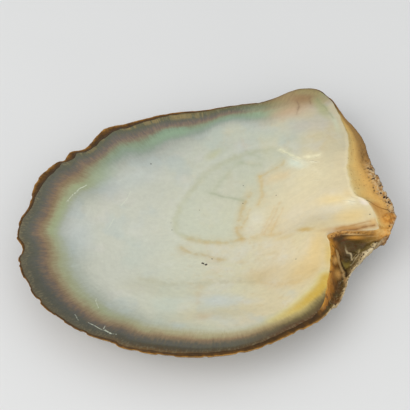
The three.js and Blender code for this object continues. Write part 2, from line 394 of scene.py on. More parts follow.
@dataclass
class Form:
    """The smooth form of the valve: the nacre bowl, its ridges and the dome outside, all in millimetres."""

    floor_height: float = 4.5
    bowl_flare: float = 1.35
    dome_flare: float = 1.2
    dome_sink: float = 0.6
    bead_height: float = 0.3
    # Mean, first wave, direction of its peak, second wave, direction of its peaks
    bowl_radius: tuple[float, ...] = (73.9, 7, -136, 5, 29)
    rim_height: tuple[float, ...] = (17, 0.6, 50, 0, 0)
    dome_radius: tuple[float, ...] = (75, 7, -136, 5, 29)
    dome_height: tuple[float, ...] = (15.4, 0.6, 50, 0, 0)
    # Line, height, reach
    ridges: tuple[tuple[Chain, float, float], ...] = (
        (((52, 76), (60.5, 50), (61, 16), (72, -2)), 18.4, 18),
        (((72, -9), (50.5, -12.2)), 17, 11),
        (((50.5, -12.2), (50.6, -27), (48.8, -44)), 16.4, 13),
    )
    # Line, depth, reach
    bulges: tuple[tuple[Chain, float, float], ...] = (
        (((72, -4), (74, 12), (66, 44)), 2.2, 13),
        (((68, -12), (52, -46)), 4.6, 11),
    )
    knob_at: Pair = (76, -3)
    knob_radius: float = 4.2
    knob_height: float = 1.1

    @staticmethod
    def wave(direction: np.ndarray, parts: tuple[float, ...]) -> np.ndarray:
        """A mean with a wave of one peak and a wave of two.

        Args:
            direction: directions in degrees.
            parts: the mean, then each wave's size and the direction of its peak.

        Returns:
            The value at each direction.
        """
        mean, first, first_peak, second, second_peaks = parts
        once = np.cos(np.radians(direction - first_peak))
        twice = np.cos(2 * np.radians(direction - second_peaks))
        return mean + first * once + second * twice

    def dish(self, plan: np.ndarray, low: float, radius: tuple, rim: tuple, flare: float) -> np.ndarray:
        """Height of a dish that is flat beyond its radius.

        Args:
            plan: plan points.
            low: height of its middle.
            radius: waves of its radius.
            rim: waves of its rim's height.
            flare: how early it flattens towards the rim.

        Returns:
            The height at each point.
        """
        direction = direction_of(plan)
        share = np.minimum(1, radius_of(plan) / self.wave(direction, radius))
        return mix(low, self.wave(direction, rim), 1 - (1 - share**2) ** flare)

    def nacre(self, plan: np.ndarray) -> np.ndarray:
        """Height of the smooth nacre, which also rises to its ridges."""
        bowl = self.dish(plan, self.floor_height, self.bowl_radius, self.rim_height, self.bowl_flare)
        near = [np.exp(-((distance_to(line, plan) / reach) ** 2)) for line, _, reach in self.ridges]
        height = sum(n * ridge[1] for n, ridge in zip(near, self.ridges)) / (sum(near) + 1e-9)
        flat = math.prod(1 - n for n in near)
        return mix(height, bowl, flat)

    def dome(self, plan: np.ndarray) -> np.ndarray:
        """Height of the smooth outside, before its growth layers."""
        height = self.dish(plan, -self.dome_sink, self.dome_radius, self.dome_height, self.dome_flare)
        for line, depth, reach in self.bulges:
            height = height - depth * np.exp(-((distance_to(line, plan) / reach) ** 2))
        return height

    def knob(self, plan: np.ndarray) -> np.ndarray:
        """Height of the knob of old shell above what it stands on."""
        away = np.hypot(plan[..., 0] - self.knob_at[0], plan[..., 1] - self.knob_at[1])
        return self.knob_height * smooth(1 - away / self.knob_radius)


class Zone(Enum):
    """The three finishes that the valve's surface is divided into."""

    NACRE = 0
    RIND = 1
    OUTSIDE = 2


@dataclass
class Patch:
    """Rings of surface points with what the finishes need to know at each of them."""

    points: np.ndarray
    zone: Zone
    notes: dict[str, np.ndarray]


@dataclass
class NacreLining:
    """The pearly lining, from the bowl's middle out to the nacre's edge."""

    form: Form
    margin: Margin
    core_share: float = 0.62
    core_rings: int = 12
    edge_rings: int = 22
    # Power below 1, which sets the outer rings closer together towards the nacre's edge
    edge_crowding: float = 0.9
    edge_waver: float = 0.35
    edge_waver_size: float = 2.6
    swell: float = 0.16
    # Size in millimetres and seed of the broad and the small swells
    swells: tuple[tuple[float, int], ...] = ((15, 21), (6, 22))
    scar_depth: float = 0.09
    yellow_reach: float = 3.6
    # Direction, width of the dark bands along the margin
    band_width: Round = Round([
        (-180, 17.2), (-170, 19.6), (-155, 21.6), (-140, 21), (-125, 18.5), (-110, 18), (-95, 17),
        (-80, 14), (-65, 11.5), (-52, 11), (-42, 10.5), (-35, 9), (10, 7), (50, 9), (60, 12),
        (70, 12), (85, 9), (100, 13.5), (115, 16), (130, 19.5), (145, 15.5), (160, 20.5),
    ])
    muscle_scar: Chain = (
        (36.6, 41.6), (29, 43.5), (21.6, 43.7), (13, 41.1), (4.3, 36.8), (-2.1, 30.7), (-6.4, 23.9),
        (-10.6, 16.3), (-12.7, 10.2), (-13, 4), (-12.2, 0.7), (-9.6, -2), (-6.3, -3.5), (2.1, -5),
        (10.4, -5.7), (14.6, -4.1), (18.8, -1.4), (23.9, 2.6), (28.2, 8.7), (33.9, 16), (39.5, 23.8),
        (40.6, 32.6),
    )
    amber_line: Chain = (
        (33, 36.5), (28, 34.6), (24.4, 31.5), (23.4, 28), (24.6, 22.5), (22.4, 18.6), (17.6, 15.8),
        (14.9, 11), (13.2, 3.5), (15.2, -0.6), (19.6, -5), (30, -5.6), (44, -6), (70, -6), (70, 36.5),
    )
    yellow_line: Chain = (
        (27, -57.2), (31, -54.9), (36.4, -50.8), (40.6, -46.9), (44.4, -43.5), (46.9, -39.9),
        (49, -35.4),
    )

    def edge_radius(self, direction: np.ndarray) -> np.ndarray:
        """Radius of the nacre's slightly uneven edge."""
        radius = self.margin.radius(direction)
        spots = in_space(place(direction, radius))
        inset = self.margin.nacre_inset(direction)
        uneven = self.edge_waver * np.minimum(1, inset / 2) * grain(spots / self.edge_waver_size, 11)
        return np.minimum(self.margin.chipped(direction) - 0.5, radius - inset + uneven)

    def height(self, plan: np.ndarray) -> np.ndarray:
        """Height of the nacre with its faint swells and the sunken muscle scar.

        Args:
            plan: plan points.

        Returns:
            The height at each point.
        """
        broad, small = (grain(in_space(plan) / size, seed) for size, seed in self.swells)
        out = smooth((radius_of(plan) - 25) / 30)
        swells = self.swell * (broad + 0.4 * small) * (0.35 + 0.65 * out)
        sunk = self.scar_depth * (1 - smooth((signed_distance(self.muscle_scar, plan) + 1.2) / 1.6))
        return self.form.nacre(plan) + swells - sunk

    def patch(self, directions: np.ndarray) -> Patch:
        """Builds the lining's rings, from the middle outwards.

        Args:
            directions: the mesh columns, in degrees.

        Returns:
            The rings, the last of them on the nacre's edge.
        """
        core = self.core_share * self.form.wave(directions, self.form.bowl_radius)
        inner = even_steps(self.core_rings) * core
        outward = even_steps(self.edge_rings) ** self.edge_crowding
        outer = mix(core, self.edge_radius(directions), outward)
        radii = np.vstack([inner, outer])
        plan = place(np.broadcast_to(directions, radii.shape), radii)
        height = self.height(plan)
        height[-2:] += self.bead(directions) * np.array([[0.4], [1]])
        return Patch(np.concatenate([plan, height[..., None]], axis=-1), Zone.NACRE, self.notes(plan))

    def bead(self, direction: np.ndarray) -> np.ndarray:
        """Height of the bead along the nacre's edge, which only the hinge has."""
        return self.form.bead_height * smooth((self.margin.nacre_inset(direction) - 2.6) / 4)

    def notes(self, plan: np.ndarray) -> dict[str, np.ndarray]:
        """What the nacre's finish reads at each point.

        Args:
            plan: plan points.

        Returns:
            Distances in millimetres and shares, by name.
        """
        inset = distance_to(self.margin.open_edge(), plan)
        direction = direction_of(plan)
        return {
            "inset": inset,
            "band": inset / self.band_width(direction),
            "scar": signed_distance(self.muscle_scar, plan),
            "amber": signed_distance(self.amber_line, plan),
            "yellow": np.exp(-((distance_to(self.yellow_line, plan) / self.yellow_reach) ** 2)),
            "brink": np.maximum(0, self.edge_radius(direction) - radius_of(plan)),
        }


@dataclass
class Rind:
    """What lies between the nacre and the outside: horny strip, hinge plate, hollow, lip and edge wall."""

    form: Form
    margin: Margin
    lining: NacreLining
    rings: int = 28
    wall_rings: int = 5
    # Power below 1, which sets the rings closer together towards the outermost edge
    crowding: float = 0.95
    # The plate's fine ridges: their height, and their waves from the nacre to the edge in radians
    plate_ridge: float = 0.04
    plate_waves: float = 22
    # How the ridges waver, here with its height in radians
    ridge_waver: Rough = Rough(1.6, 5, 31)
    plate_swells: Rough = Rough(0.25, 4.5, 30)
    pit_depth: float = 0.7
    plate_crumbs: Rough = Rough(0.25, 0.9, 33)
    wall_knobs: Rough = Rough(1.3, 3.6, 34)
    wall_grain: Rough = Rough(0.3, 1.2, 35)
    floor_swells: Rough = Rough(0.8, 2.4, 36)
    floor_grain: Rough = Rough(0.5, 1.1, 37)
    lip_crust: Rough = Rough(0.7, 1.6, 38)
    knob_wear: float = 0.6
    # The layers at the top of the notch: their height, and how far they reach
    notch_layer: float = 0.2
    notch_reach: float = 2
    # How deep the edge wall's layers are cut, and what each millimetre of its thickness adds
    wall_cut: float = 0.12
    wall_cut_growth: float = 0.1
    # Direction, share of hinge plate, share of hollow
    parts: Round = Round([
        (-180, 0, 0), (-56, 0, 0), (-49, 0, 1), (-12, 0, 1),
        (-8.6, 1, 0), (44, 1, 0), (56, 0, 0), (100, 0, 0),
    ])
    notch_top: Chain = ((74, -8.6), (50.5, -12.2))

    def top(self, direction: np.ndarray, share: np.ndarray) -> np.ndarray:
        """Points of the surface beyond the nacre's edge, without its fine relief.

        Args:
            direction: directions in degrees.
            share: how far out they are, from the nacre's edge to the outermost edge.

        Returns:
            The points.
        """
        outer = self.margin.chipped(direction)
        inner = self.lining.edge_radius(direction)
        start = self.lining.height(place(direction, inner))
        bead = self.lining.bead(direction) * (1 - smooth(share * 3))
        drop = self.margin.edge(direction, 0) * smooth(share * 2)
        dip = self.margin.edge(direction, 1) * np.sin(math.pi * share)
        plan = place(direction, mix(inner, outer, share))
        height = start + bead - drop - dip + self.form.knob(plan)
        return np.concatenate([plan, height[..., None]], axis=-1)

    def relief(self, points: np.ndarray, direction: np.ndarray, share: np.ndarray) -> np.ndarray:
        """Height of the fine relief, which fades towards the nacre.

        Args:
            points: points of the surface.
            direction: their directions.
            share: how far out they are.

        Returns:
            What is added to each height.
        """
        plate = self.parts(direction, 0) * smooth(share * 5) * self.plate_relief(points, direction, share)
        faded = smooth(share * 6) * (1 - 0.6 * smooth((share - 0.93) / 0.07))
        hollow = self.parts(direction, 1) * faded * self.hollow_relief(points, share)
        knob = self.form.knob(points[..., :2]) / self.form.knob_height
        worn = self.knob_wear * knob * smooth((lumps(points / 1.3, 39) - 0.5) / 0.3)
        return plate + hollow - worn

    def plate_relief(self, points: np.ndarray, direction: np.ndarray, share: np.ndarray) -> np.ndarray:
        """The hinge plate's ridges and swells, and the pits in its chalky outer edge.

        Args:
            points: points of the surface.
            direction: their directions.
            share: how far out they are.

        Returns:
            The relief's height.
        """
        waves = np.sin(share * self.plate_waves + self.ridge_waver.grainy(points))
        ridges = self.plate_ridge * waves * smooth((share - 0.12) * 6)
        swells = self.plate_swells.grainy(points)
        chalk = smooth((share - 0.6) / 0.2) * (1 - smooth((direction - 26) / 14))
        pits = -self.pit_depth * smooth((lumps(points / 1.5, 32) - 0.45) / 0.3)
        return ridges + swells + chalk * (pits + self.plate_crumbs.grainy(points))

    def hollow_relief(self, points: np.ndarray, share: np.ndarray) -> np.ndarray:
        """The hollow's lumpy wall, rough floor and crusted lip, and the layers at the top of the notch.

        Args:
            points: points of the surface.
            share: how far out they are.

        Returns:
            The relief's height.
        """
        wall = 1 - smooth((share - 0.28) / 0.2)
        lip = smooth((share - 0.7) / 0.2)
        knobbly = self.wall_knobs.lumpy(points) + self.wall_grain.grainy(points)
        rough = self.floor_swells.grainy(points) + self.floor_grain.grainy(points)
        away = distance_to(self.notch_top, points[..., :2])
        waves = np.sin(points[..., 2] * 3 + grain(points / 4, 40))
        layers = self.notch_layer * waves * np.exp(-((away / self.notch_reach) ** 2))
        return wall * knobbly + (1 - wall) * rough + lip * self.lip_crust.lumpy(points) + layers

    def patch(self, directions: np.ndarray) -> Patch:
        """Builds the rings beyond the nacre and down the edge wall.

        Args:
            directions: the mesh columns, in degrees.

        Returns:
            The rings, the last of them on the wall's lower edge.
        """
        whole = np.ones_like(directions)
        shares = even_steps(self.rings) ** self.crowding * whole
        across = np.broadcast_to(directions, shares.shape)
        points = self.top(across, shares)
        points[..., 2] += self.relief(points, across, shares)
        wall = self.wall(directions, points[-1])
        shares = np.vstack([shares, 1 + even_steps(self.wall_rings) * whole])
        across = np.broadcast_to(directions, shares.shape)
        points = np.vstack([points, wall])
        notes = self.lining.notes(points[..., :2])
        notes.update(
            beyond=shares,
            plate=self.parts(across, 0),
            hollow=self.parts(across, 1),
            knob=self.form.knob(points[..., :2]) / self.form.knob_height,
        )
        return Patch(points, Zone.RIND, notes)

    def wall(self, directions: np.ndarray, edge: np.ndarray) -> np.ndarray:
        """The edge wall in uneven layers.

        Args:
            directions: the mesh columns.
            edge: the outermost ring of the surface above.

        Returns:
            The rings from there down.
        """
        shares = even_steps(self.wall_rings)
        thickness, undercut = self.margin.edge(directions, 2), self.margin.edge(directions, 3)
        height = edge[:, 2] - thickness * shares
        spots = np.stack([edge[:, 0] + 0 * height, edge[:, 1] + 0 * height, height * 3], axis=-1)
        cut = self.wall_cut + self.wall_cut_growth * thickness
        inward = undercut * shares**2 + cut * (0.5 + 0.5 * grain(spots / 1.6, 41))
        inward[-1] = undercut
        radius = radius_of(edge[:, :2]) - inward
        plan = place(np.broadcast_to(directions, radius.shape), radius)
        return np.concatenate([plan, height[..., None]], axis=-1)


@dataclass
class Outside:
    """The rounded outside, in overlapping growth layers that spread from the beak and end in ragged steps."""

    form: Form
    margin: Margin
    layers: int = 8
    scales_per_layer: int = 3
    first_layer: float = 0.21
    last_layer: float = 0.95
    layer_spread: float = 0.85
    layer_height: float = 0.9
    scale_height: float = 0.42
    margin_scale_height: float = 0.15
    ragged_share: float = 0.012
    # Scales are worn away within half of this distance from the centre, where the shell rests
    rest_reach: float = 26
    # How near the margin the scales taper off, as a share of the way from the beak
    taper: float = 0.04
    # Where the outside begins to bend to the edge wall, and over what share of the way
    rim_bend: Pair = (0.86, 0.14)
    # Where the scales begin to grow tall, and over what share of the way
    growing: Pair = (0.12, 0.25)
    # The scales' ends and rays wave round the shell: radius of the circle that the waves are drawn on,
    # and each wave's weight, how much finer it is, and its seed
    fray_radius: float = 14
    frays: tuple[tuple[float, float, int], ...] = ((0.2, 1, 51), (0.16, 3, 52), (0.1, 7, 53))
    ray_radius: float = 16
    ray_floor: float = 0.75
    rays: tuple[tuple[float, float, int], ...] = ((0.45, 1, 54), (0.25, 2.7, 55))
    beak_rings: tuple[float, ...] = (0.04, 0.09)
    # Each scale's rings: how far along it, and their share of its height
    steps: tuple[Pair, ...] = ((0.97, 1.0), (0.5, 0.4), (0.04, 0.0))

    @property
    def layer_scales(self) -> int:
        """Scales that belong to the layers."""
        return self.layers * self.scales_per_layer

    @property
    def scales(self) -> int:
        """Scales in all, with the low ones from the last layer's end to the margin."""
        return self.layer_scales + self.scales_per_layer

    @staticmethod
    def ragged(direction: np.ndarray, seed: float) -> np.ndarray:
        """A ragged wave round the shell, between about -1 and 1."""
        turn = np.radians(direction)
        waves = ((7, 1.7), (13, 2.9), (23, 4.1))
        return sum(np.sin(count * turn + shift * seed) for count, shift in waves) / len(waves)

    @staticmethod
    def on_circle(direction: np.ndarray, radius: float, height: float) -> np.ndarray:
        """Points on a level circle, on which waves join up round the shell."""
        turn = np.radians(direction)
        return np.stack([radius * np.cos(turn), radius * np.sin(turn), 0 * turn + height], axis=-1)

    def layer_end(self, layer: int, direction: np.ndarray) -> np.ndarray:
        """Where a layer ends, as a share of the way from the beak to the margin."""
        if layer < 0:
            return np.full(direction.shape, self.beak_rings[-1])
        if layer == self.layers:
            return np.ones(direction.shape)
        end = mix(self.first_layer, self.last_layer, (layer / (self.layers - 1)) ** self.layer_spread)
        return end + self.ragged_share * self.ragged(direction, layer)

    def scale_end(self, count: int, direction: np.ndarray) -> np.ndarray:
        """Where a scale ends, as a share of the way from the beak to the margin.

        Args:
            count: scales from the beak, some in each layer.
            direction: the mesh columns.

        Returns:
            The share at each column.
        """
        if count == 0:
            return self.layer_end(-1, direction)
        if count == self.scales:
            return np.ones(direction.shape)
        layer, part = divmod(count, self.scales_per_layer)
        inner, outer = self.layer_end(layer - 1, direction), self.layer_end(layer, direction)
        spots = self.on_circle(direction, self.fray_radius, count * 3.3)
        frayed = sum(weight * grain(spots * finer, seed) for weight, finer, seed in self.frays)
        return mix(inner, outer, (part + frayed) / self.scales_per_layer)

    def surface(self, edge: np.ndarray, growth: np.ndarray, proud: np.ndarray) -> np.ndarray:
        """Points of the outside on growth lines.

        Args:
            edge: the edge wall's lower ring.
            growth: how far they are from the beak to the edge, by column.
            proud: how far they stand out, in millimetres.

        Returns:
            The points.
        """
        plan = mix(BEAK, edge[:, :2], growth[:, None])
        reach = self.rest_reach / 2
        worn = smooth((radius_of(plan) - reach) / reach)
        tapered = proud * worn * smooth((1 - growth) / self.taper)
        start, length = self.rim_bend
        height = mix(self.form.dome(plan), edge[:, 2], smooth((growth - start) / length)) - tapered
        return np.column_stack([plan, np.maximum(0, height)])

    def patch(self, directions: np.ndarray, edge: np.ndarray) -> Patch:
        """Builds the rings from the edge wall back to the beak.

        Args:
            directions: the mesh columns.
            edge: the edge wall's lower ring.

        Returns:
            The rings, the last of them round the beak.
        """
        rings, growths, rises, tints = [], [], [], []
        for count in reversed(range(self.scales)):
            inner, outer = self.scale_end(count, directions), self.scale_end(count + 1, directions)
            tall = self.height_of(count)
            # The outermost scale ends on the edge wall, which has that ring already
            steps = self.steps[1:] if count == self.scales - 1 else self.steps
            for along, rise in steps:
                growth = mix(inner, outer, along)
                rings.append(self.surface(edge, growth, self.relief(directions, growth, rise * tall, count)))
                growths.append(growth)
                rises.append(np.full(growth.shape, rise))
                tints.append(np.full(growth.shape, count / self.layer_scales))
        for growth in reversed(self.beak_rings):
            shares = np.full(directions.shape, growth)
            rings.append(self.surface(edge, shares, 0 * shares))
            growths.append(shares)
            rises.append(0 * shares)
            tints.append(0 * shares)
        notes = {"growth": np.array(growths), "rise": np.array(rises), "tint": np.array(tints)}
        return Patch(np.array(rings), Zone.OUTSIDE, notes)

    def height_of(self, count: int) -> float:
        """How tall a scale is at its outer end, most where it ends a layer."""
        if count >= self.layer_scales:
            return self.margin_scale_height
        return self.layer_height if (count + 1) % self.scales_per_layer == 0 else self.scale_height

    def relief(self, directions: np.ndarray, growth: np.ndarray, tall: float, count: int) -> np.ndarray:
        """How far a ring stands out, with rays of taller scales that spread from the beak.

        Args:
            directions: the mesh columns.
            growth: how far the ring is from the beak.
            tall: the ring's own height.
            count: its scale, for its own raggedness.

        Returns:
            The height at each column, in millimetres.
        """
        spots = self.on_circle(directions, self.ray_radius, count * 0.35)
        rays = sum((weight * grain(spots * finer, seed) for weight, finer, seed in self.rays), self.ray_floor)
        start, length = self.growing
        young = smooth((growth - start) / length)
        return tall * rays * young


@dataclass
class Valve:
    """The whole valve: one closed skin made of its lining, rind and outside."""

    form: Form = field(default_factory=Form)
    margin: Margin = field(default_factory=Margin)
    # First direction, last direction, columns
    columns: tuple[tuple[float, float, int], ...] = (
        (-56, -20, 74), (-20, -4, 62), (-4, 64, 150), (64, 304, 384),
    )

    def __post_init__(self) -> None:
        """Makes the three parts of the surface."""
        self.lining = NacreLining(self.form, self.margin)
        self.rind = Rind(self.form, self.margin, self.lining)
        self.outside = Outside(self.form, self.margin)

    def directions(self) -> np.ndarray:
        """The mesh columns, in degrees."""
        return np.concatenate([np.linspace(a, b, count, endpoint=False) for a, b, count in self.columns])

    def middle(self) -> np.ndarray:
        """Middle of the smooth outline's box in plan, which the origin lies under."""
        smooth_edge = self.margin.sampled
        return (smooth_edge.min(axis=0) + smooth_edge.max(axis=0)) / 2

    def patches(self) -> list[Patch]:
        """The three parts' rings, in order from the bowl's middle to the beak."""
        directions = self.directions()
        lining = self.lining.patch(directions)
        rind = self.rind.patch(directions)
        outside = self.outside.patch(directions, rind.points[-1])
        # The strip of faces on a seam reads the ring before it
        around = np.broadcast_to(directions, lining.points.shape[:2])
        lining.notes.update(plate=self.rind.parts(around, 0), hollow=self.rind.parts(around, 1))
        full = np.ones(rind.points.shape[:2])
        rind.notes.update(growth=full, tint=full, rise=0 * full)
        return [lining, rind, outside]

    def build(self) -> bpy.types.Object:
        """Joins the rings into one closed mesh, with a named value at each point for the finishes.

        Returns:
            The new object, in metres.
        """
        patches = self.patches()
        rings = np.vstack([patch.points for patch in patches])
        count, columns = rings.shape[:2]
        first = np.append(CENTRE, self.lining.height(CENTRE[None])[0])
        last = np.append(BEAK, self.form.dome(BEAK[None])[0])
        points = np.vstack([first, rings.reshape(-1, 3), last])
        shift = np.append(self.middle(), 0)
        mesh = bpy.data.meshes.new("oyster_valve")
        mesh.from_pydata(((points - shift) * MM).tolist(), [], self.faces(count, columns))
        self.write_notes(mesh, patches)
        zones = np.concatenate([np.full(len(p.points), p.zone.value) for p in patches])
        face_zones = np.concatenate([
            np.full(columns, Zone.NACRE.value),
            np.repeat(zones[1:], columns),
            np.full(columns, Zone.OUTSIDE.value),
        ])
        mesh.polygons.foreach_set("material_index", face_zones.astype(np.int32))
        mesh.polygons.foreach_set("use_smooth", np.ones(len(mesh.polygons), bool))
        mesh.update()
        piece = bpy.data.objects.new("oyster_valve", mesh)
        bpy.context.collection.objects.link(piece)
        return piece

    @staticmethod
    def faces(rings: int, columns: int) -> list[tuple[int, ...]]:
        """Corners of a fan round the first point, of squares between the rings and of a fan to the last.

        Args:
            rings: how many rings there are.
            columns: points in a ring.

        Returns:
            Each face's corners, as places in the list of points.
        """
        around = np.arange(columns)
        after = (around + 1) % columns
        near = 1 + np.arange(rings - 1)[:, None] * columns
        far = near + columns
        squares = np.stack([near + around, far + around, far + after, near + after], axis=-1)
        sides = list(zip(around.tolist(), after.tolist()))
        last = 1 + rings * columns
        start_fan = [(0, 1 + a, 1 + b) for a, b in sides]
        end_fan = [(last - columns + a, last, last - columns + b) for a, b in sides]
        return start_fan + squares.reshape(-1, 4).tolist() + end_fan

    @staticmethod
    def write_notes(mesh: bpy.types.Mesh, patches: list[Patch]) -> None:
        """Stores each part's notes on the mesh, zero where a part has none of that name.

        Args:
            mesh: the joined mesh.
            patches: the parts, in order.
        """
        for name in sorted({name for patch in patches for name in patch.notes}):
            parts = [patch.notes.get(name, np.zeros(patch.points.shape[:2])) for patch in patches]
            rings = np.vstack(parts)
            values = np.concatenate([[rings[0].mean()], rings.ravel(), [rings[-1].mean()]])
            attribute = mesh.attributes.new(name, "FLOAT", "POINT")
            attribute.data.foreach_set("value", values.astype(np.float32))


class Wire:
    """A number in a shader, on which Python's operators add Math nodes."""

    def __init__(self, paint: "Paint", socket: Socket) -> None:
        """Wraps a node's output.

        Args:
            paint: the material under construction.
            socket: the output.
        """
        self.paint = paint
        self.socket = socket

    def math(self, operation: str, *values: "Wire | float") -> "Wire":
        """Adds a Math node.

        Args:
            operation: its operation.
            values: its inputs, in order.

        Returns:
            Its result.
        """
        return self.paint.wire("ShaderNodeMath", {"operation": operation}, dict(enumerate(values)))

    def __add__(self, other: "Wire | float") -> "Wire":
        """Sum."""
        return self.math("ADD", self, other)

    __radd__ = __add__

    def __sub__(self, other: "Wire | float") -> "Wire":
        """Difference."""
        return self.math("SUBTRACT", self, other)

    def __rsub__(self, other: "Wire | float") -> "Wire":
        """Difference, the other way round."""
        return self.math("SUBTRACT", other, self)

    def __mul__(self, other: "Wire | float") -> "Wire":
        """Product."""
        return self.math("MULTIPLY", self, other)

    __rmul__ = __mul__

    def __truediv__(self, other: "Wire | float") -> "Wire":
        """Quotient."""
        return self.math("DIVIDE", self, other)

    def size(self) -> "Wire":
        """The number without its sign."""
        return self.math("ABSOLUTE", self)

    def least(self, other: "Wire | float") -> "Wire":
        """The smaller of two numbers."""
        return self.math("MINIMUM", self, other)

    def most(self, other: "Wire | float") -> "Wire":
        """The larger of two numbers."""
        return self.math("MAXIMUM", self, other)

    def rise(self, low: float, high: float, top: float = 1) -> "Wire":
        """Goes smoothly from 0 at low to its top at high, which may be less than low.

        Args:
            low: where it is 0.
            high: where it is at its top.
            top: how high that is.

        Returns:
            The eased share.
        """
        settings = {"interpolation_type": "SMOOTHSTEP", "clamp": False}
        return self.paint.wire("ShaderNodeMapRange", settings, {0: self, 1: low, 2: high, 4: top})

    def near(self, value: float, reach: float) -> "Wire":
        """Is 1 at a value and falls to 0 at a reach from it."""
        return (self - value).size().rise(reach, 0)


class Paint:
    """A material under construction, with the point that is painted."""

    def __init__(self, name: str, shift: np.ndarray) -> None:
        """Starts an empty material with one surface shader.

        Args:
            name: the material's name.
            shift: the plan point that lies over the origin.
        """
        self.material = bpy.data.materials.new(name)
        self.material.use_nodes = True
        self.tree = self.material.node_tree
        self.tree.nodes.clear()
        self.shader = self.tree.nodes.new("ShaderNodeBsdfPrincipled")
        output = self.tree.nodes.new("ShaderNodeOutputMaterial")
        self.tree.links.new(self.shader.outputs[0], output.inputs["Surface"])
        # The point in millimetres before the shell was centred, its coordinates and its place in plan
        here = self.node("ShaderNodeTexCoord", {}, {}).outputs["Object"]
        self.spot = self.vector("ADD", self.scaled(here, 1 / MM), (*map(float, shift), 0.0))
        self.x, self.y, self.z = self.split(self.spot)
        self.flat = self.flatten(self.spot)

    def node(self, kind: str, settings: dict, inputs: dict) -> bpy.types.Node:
        """Adds a node.

        Args:
            kind: its type.
            settings: its properties, and for a ramp the stops as "stops".
            inputs: values or links, by the input's name or place.

        Returns:
            The node.
        """
        made = self.tree.nodes.new(kind)
        for name, value in settings.items():
            if name == "stops":
                self.set_stops(made.color_ramp, value)
            else:
                setattr(made, name, value)
        for name, value in inputs.items():
            self.feed(made.inputs[name], value)
        return made

    @staticmethod
    def set_stops(ramp: bpy.types.ColorRamp, stops: list[tuple[float, tuple]]) -> None:
        """Gives a ramp its stops.

        Args:
            ramp: the new ramp, which has two.
            stops: each stop's place and colour, in order.
        """
        while len(ramp.elements) < len(stops):
            ramp.elements.new(1)
        for element, (place_on_ramp, colour) in zip(ramp.elements, stops):
            element.position = place_on_ramp
            element.color = colour

    def feed(self, socket: Socket, value: "Wire | Colour | float | tuple[float, ...]") -> None:
        """Links a value to a socket or sets it there, where digits in quotes are a colour."""
        if isinstance(value, Wire):
            value = value.socket
        if isinstance(value, Socket):
            self.tree.links.new(value, socket)
        else:
            socket.default_value = linear(value) if isinstance(value, str) else value

    def wire(self, kind: str, settings: dict, inputs: dict, output: int | str = 0) -> Wire:
        """Adds a node and wraps one of its outputs, which holds a number."""
        return Wire(self, self.node(kind, settings, inputs).outputs[output])

    def note(self, name: str) -> Wire:
        """A number that the mesh holds at each point."""
        settings = {"attribute_type": "GEOMETRY", "attribute_name": name}
        return self.wire("ShaderNodeAttribute", settings, {}, "Fac")

    def mix(self, share: "Wire | float", low: Colour, high: Colour, blend: str = "MIX") -> Socket:
        """Mixes two colours.

        Args:
            share: how much of the second one.
            low: the first colour.
            high: the second colour.
            blend: how they blend.

        Returns:
            The mixed colour.
        """
        settings = {"data_type": "RGBA", "blend_type": blend}
        return self.node("ShaderNodeMix", settings, {0: share, 6: low, 7: high}).outputs[2]

    def lit(self, colour: Socket, light: Wire) -> Socket:
        """A colour times a number."""
        return self.mix(1, colour, self.join(light, light, light), "MULTIPLY")

    def ramp(self, share: Wire, stops: Stops) -> Socket:
        """Colours by a number from 0 to 1.

        Args:
            share: the number.
            stops: the colours and their places.

        Returns:
            The colour.
        """
        coded = [(place_on_ramp, linear(code)) for place_on_ramp, code in stops]
        return self.node("ShaderNodeValToRGB", {"stops": coded}, {0: share}).outputs[0]

    def vector(self, operation: str, *values: Socket | tuple[float, ...]) -> Socket:
        """Adds a Vector Math node and gives its vector."""
        return self.node("ShaderNodeVectorMath", {"operation": operation}, dict(enumerate(values))).outputs[0]

    def measure(self, operation: str, *values: Socket | tuple[float, ...]) -> Wire:
        """Adds a Vector Math node and gives its number."""
        return self.wire("ShaderNodeVectorMath", {"operation": operation}, dict(enumerate(values)), "Value")

    def scaled(self, vector: Socket | tuple[float, ...], scale: "Wire | float") -> Socket:
        """A vector times a number."""
        inputs = {0: vector, "Scale": scale}
        return self.node("ShaderNodeVectorMath", {"operation": "SCALE"}, inputs).outputs[0]

    def flatten(self, vector: Socket) -> Socket:
        """A vector without its height."""
        return self.vector("MULTIPLY", vector, (1.0, 1.0, 0.0))

    def split(self, vector: Socket) -> tuple[Wire, Wire, Wire]:
        """A vector's three numbers."""
        parts = self.node("ShaderNodeSeparateXYZ", {}, {0: vector}).outputs
        return Wire(self, parts[0]), Wire(self, parts[1]), Wire(self, parts[2])

    def join(self, x: "Wire | float", y: "Wire | float", z: "Wire | float") -> Socket:
        """A vector from three numbers."""
        return self.node("ShaderNodeCombineXYZ", {}, {0: x, 1: y, 2: z}).outputs[0]

    def noise(self, where: Socket, scale: float, detail: float = 2, rough: float = 0.5) -> Wire:
        """Smooth random values, mostly between 0.3 and 0.7.

        Args:
            where: the point in millimetres.
            scale: grains to a millimetre.
            detail: finer layers.
            rough: how strong the finer layers are.

        Returns:
            The value.
        """
        inputs = {"Vector": where, "Scale": scale, "Detail": detail, "Roughness": rough}
        return self.wire("ShaderNodeTexNoise", {}, inputs)

    def pits(self, where: Socket, scale: float) -> Wire:
        """Distance to the nearest of many scattered points, in shares of their spacing."""
        return self.wire("ShaderNodeTexVoronoi", {}, {"Vector": where, "Scale": scale}, "Distance")

    def along_rim(self, about: np.ndarray, inward: "Wire | float") -> Socket:
        """The point in a strip that is laid out along the rim, for streaks across it and lines along it.

        Args:
            about: the plan point that directions are taken about.
            inward: the strip's other coordinate.

        Returns:
            The point.
        """
        flat = self.vector("SUBTRACT", self.flat, (*map(float, about), 0.0))
        x, y, _ = self.split(self.scaled(self.vector("NORMALIZE", flat), RIM_RADIUS))
        return self.join(x, y, inward)

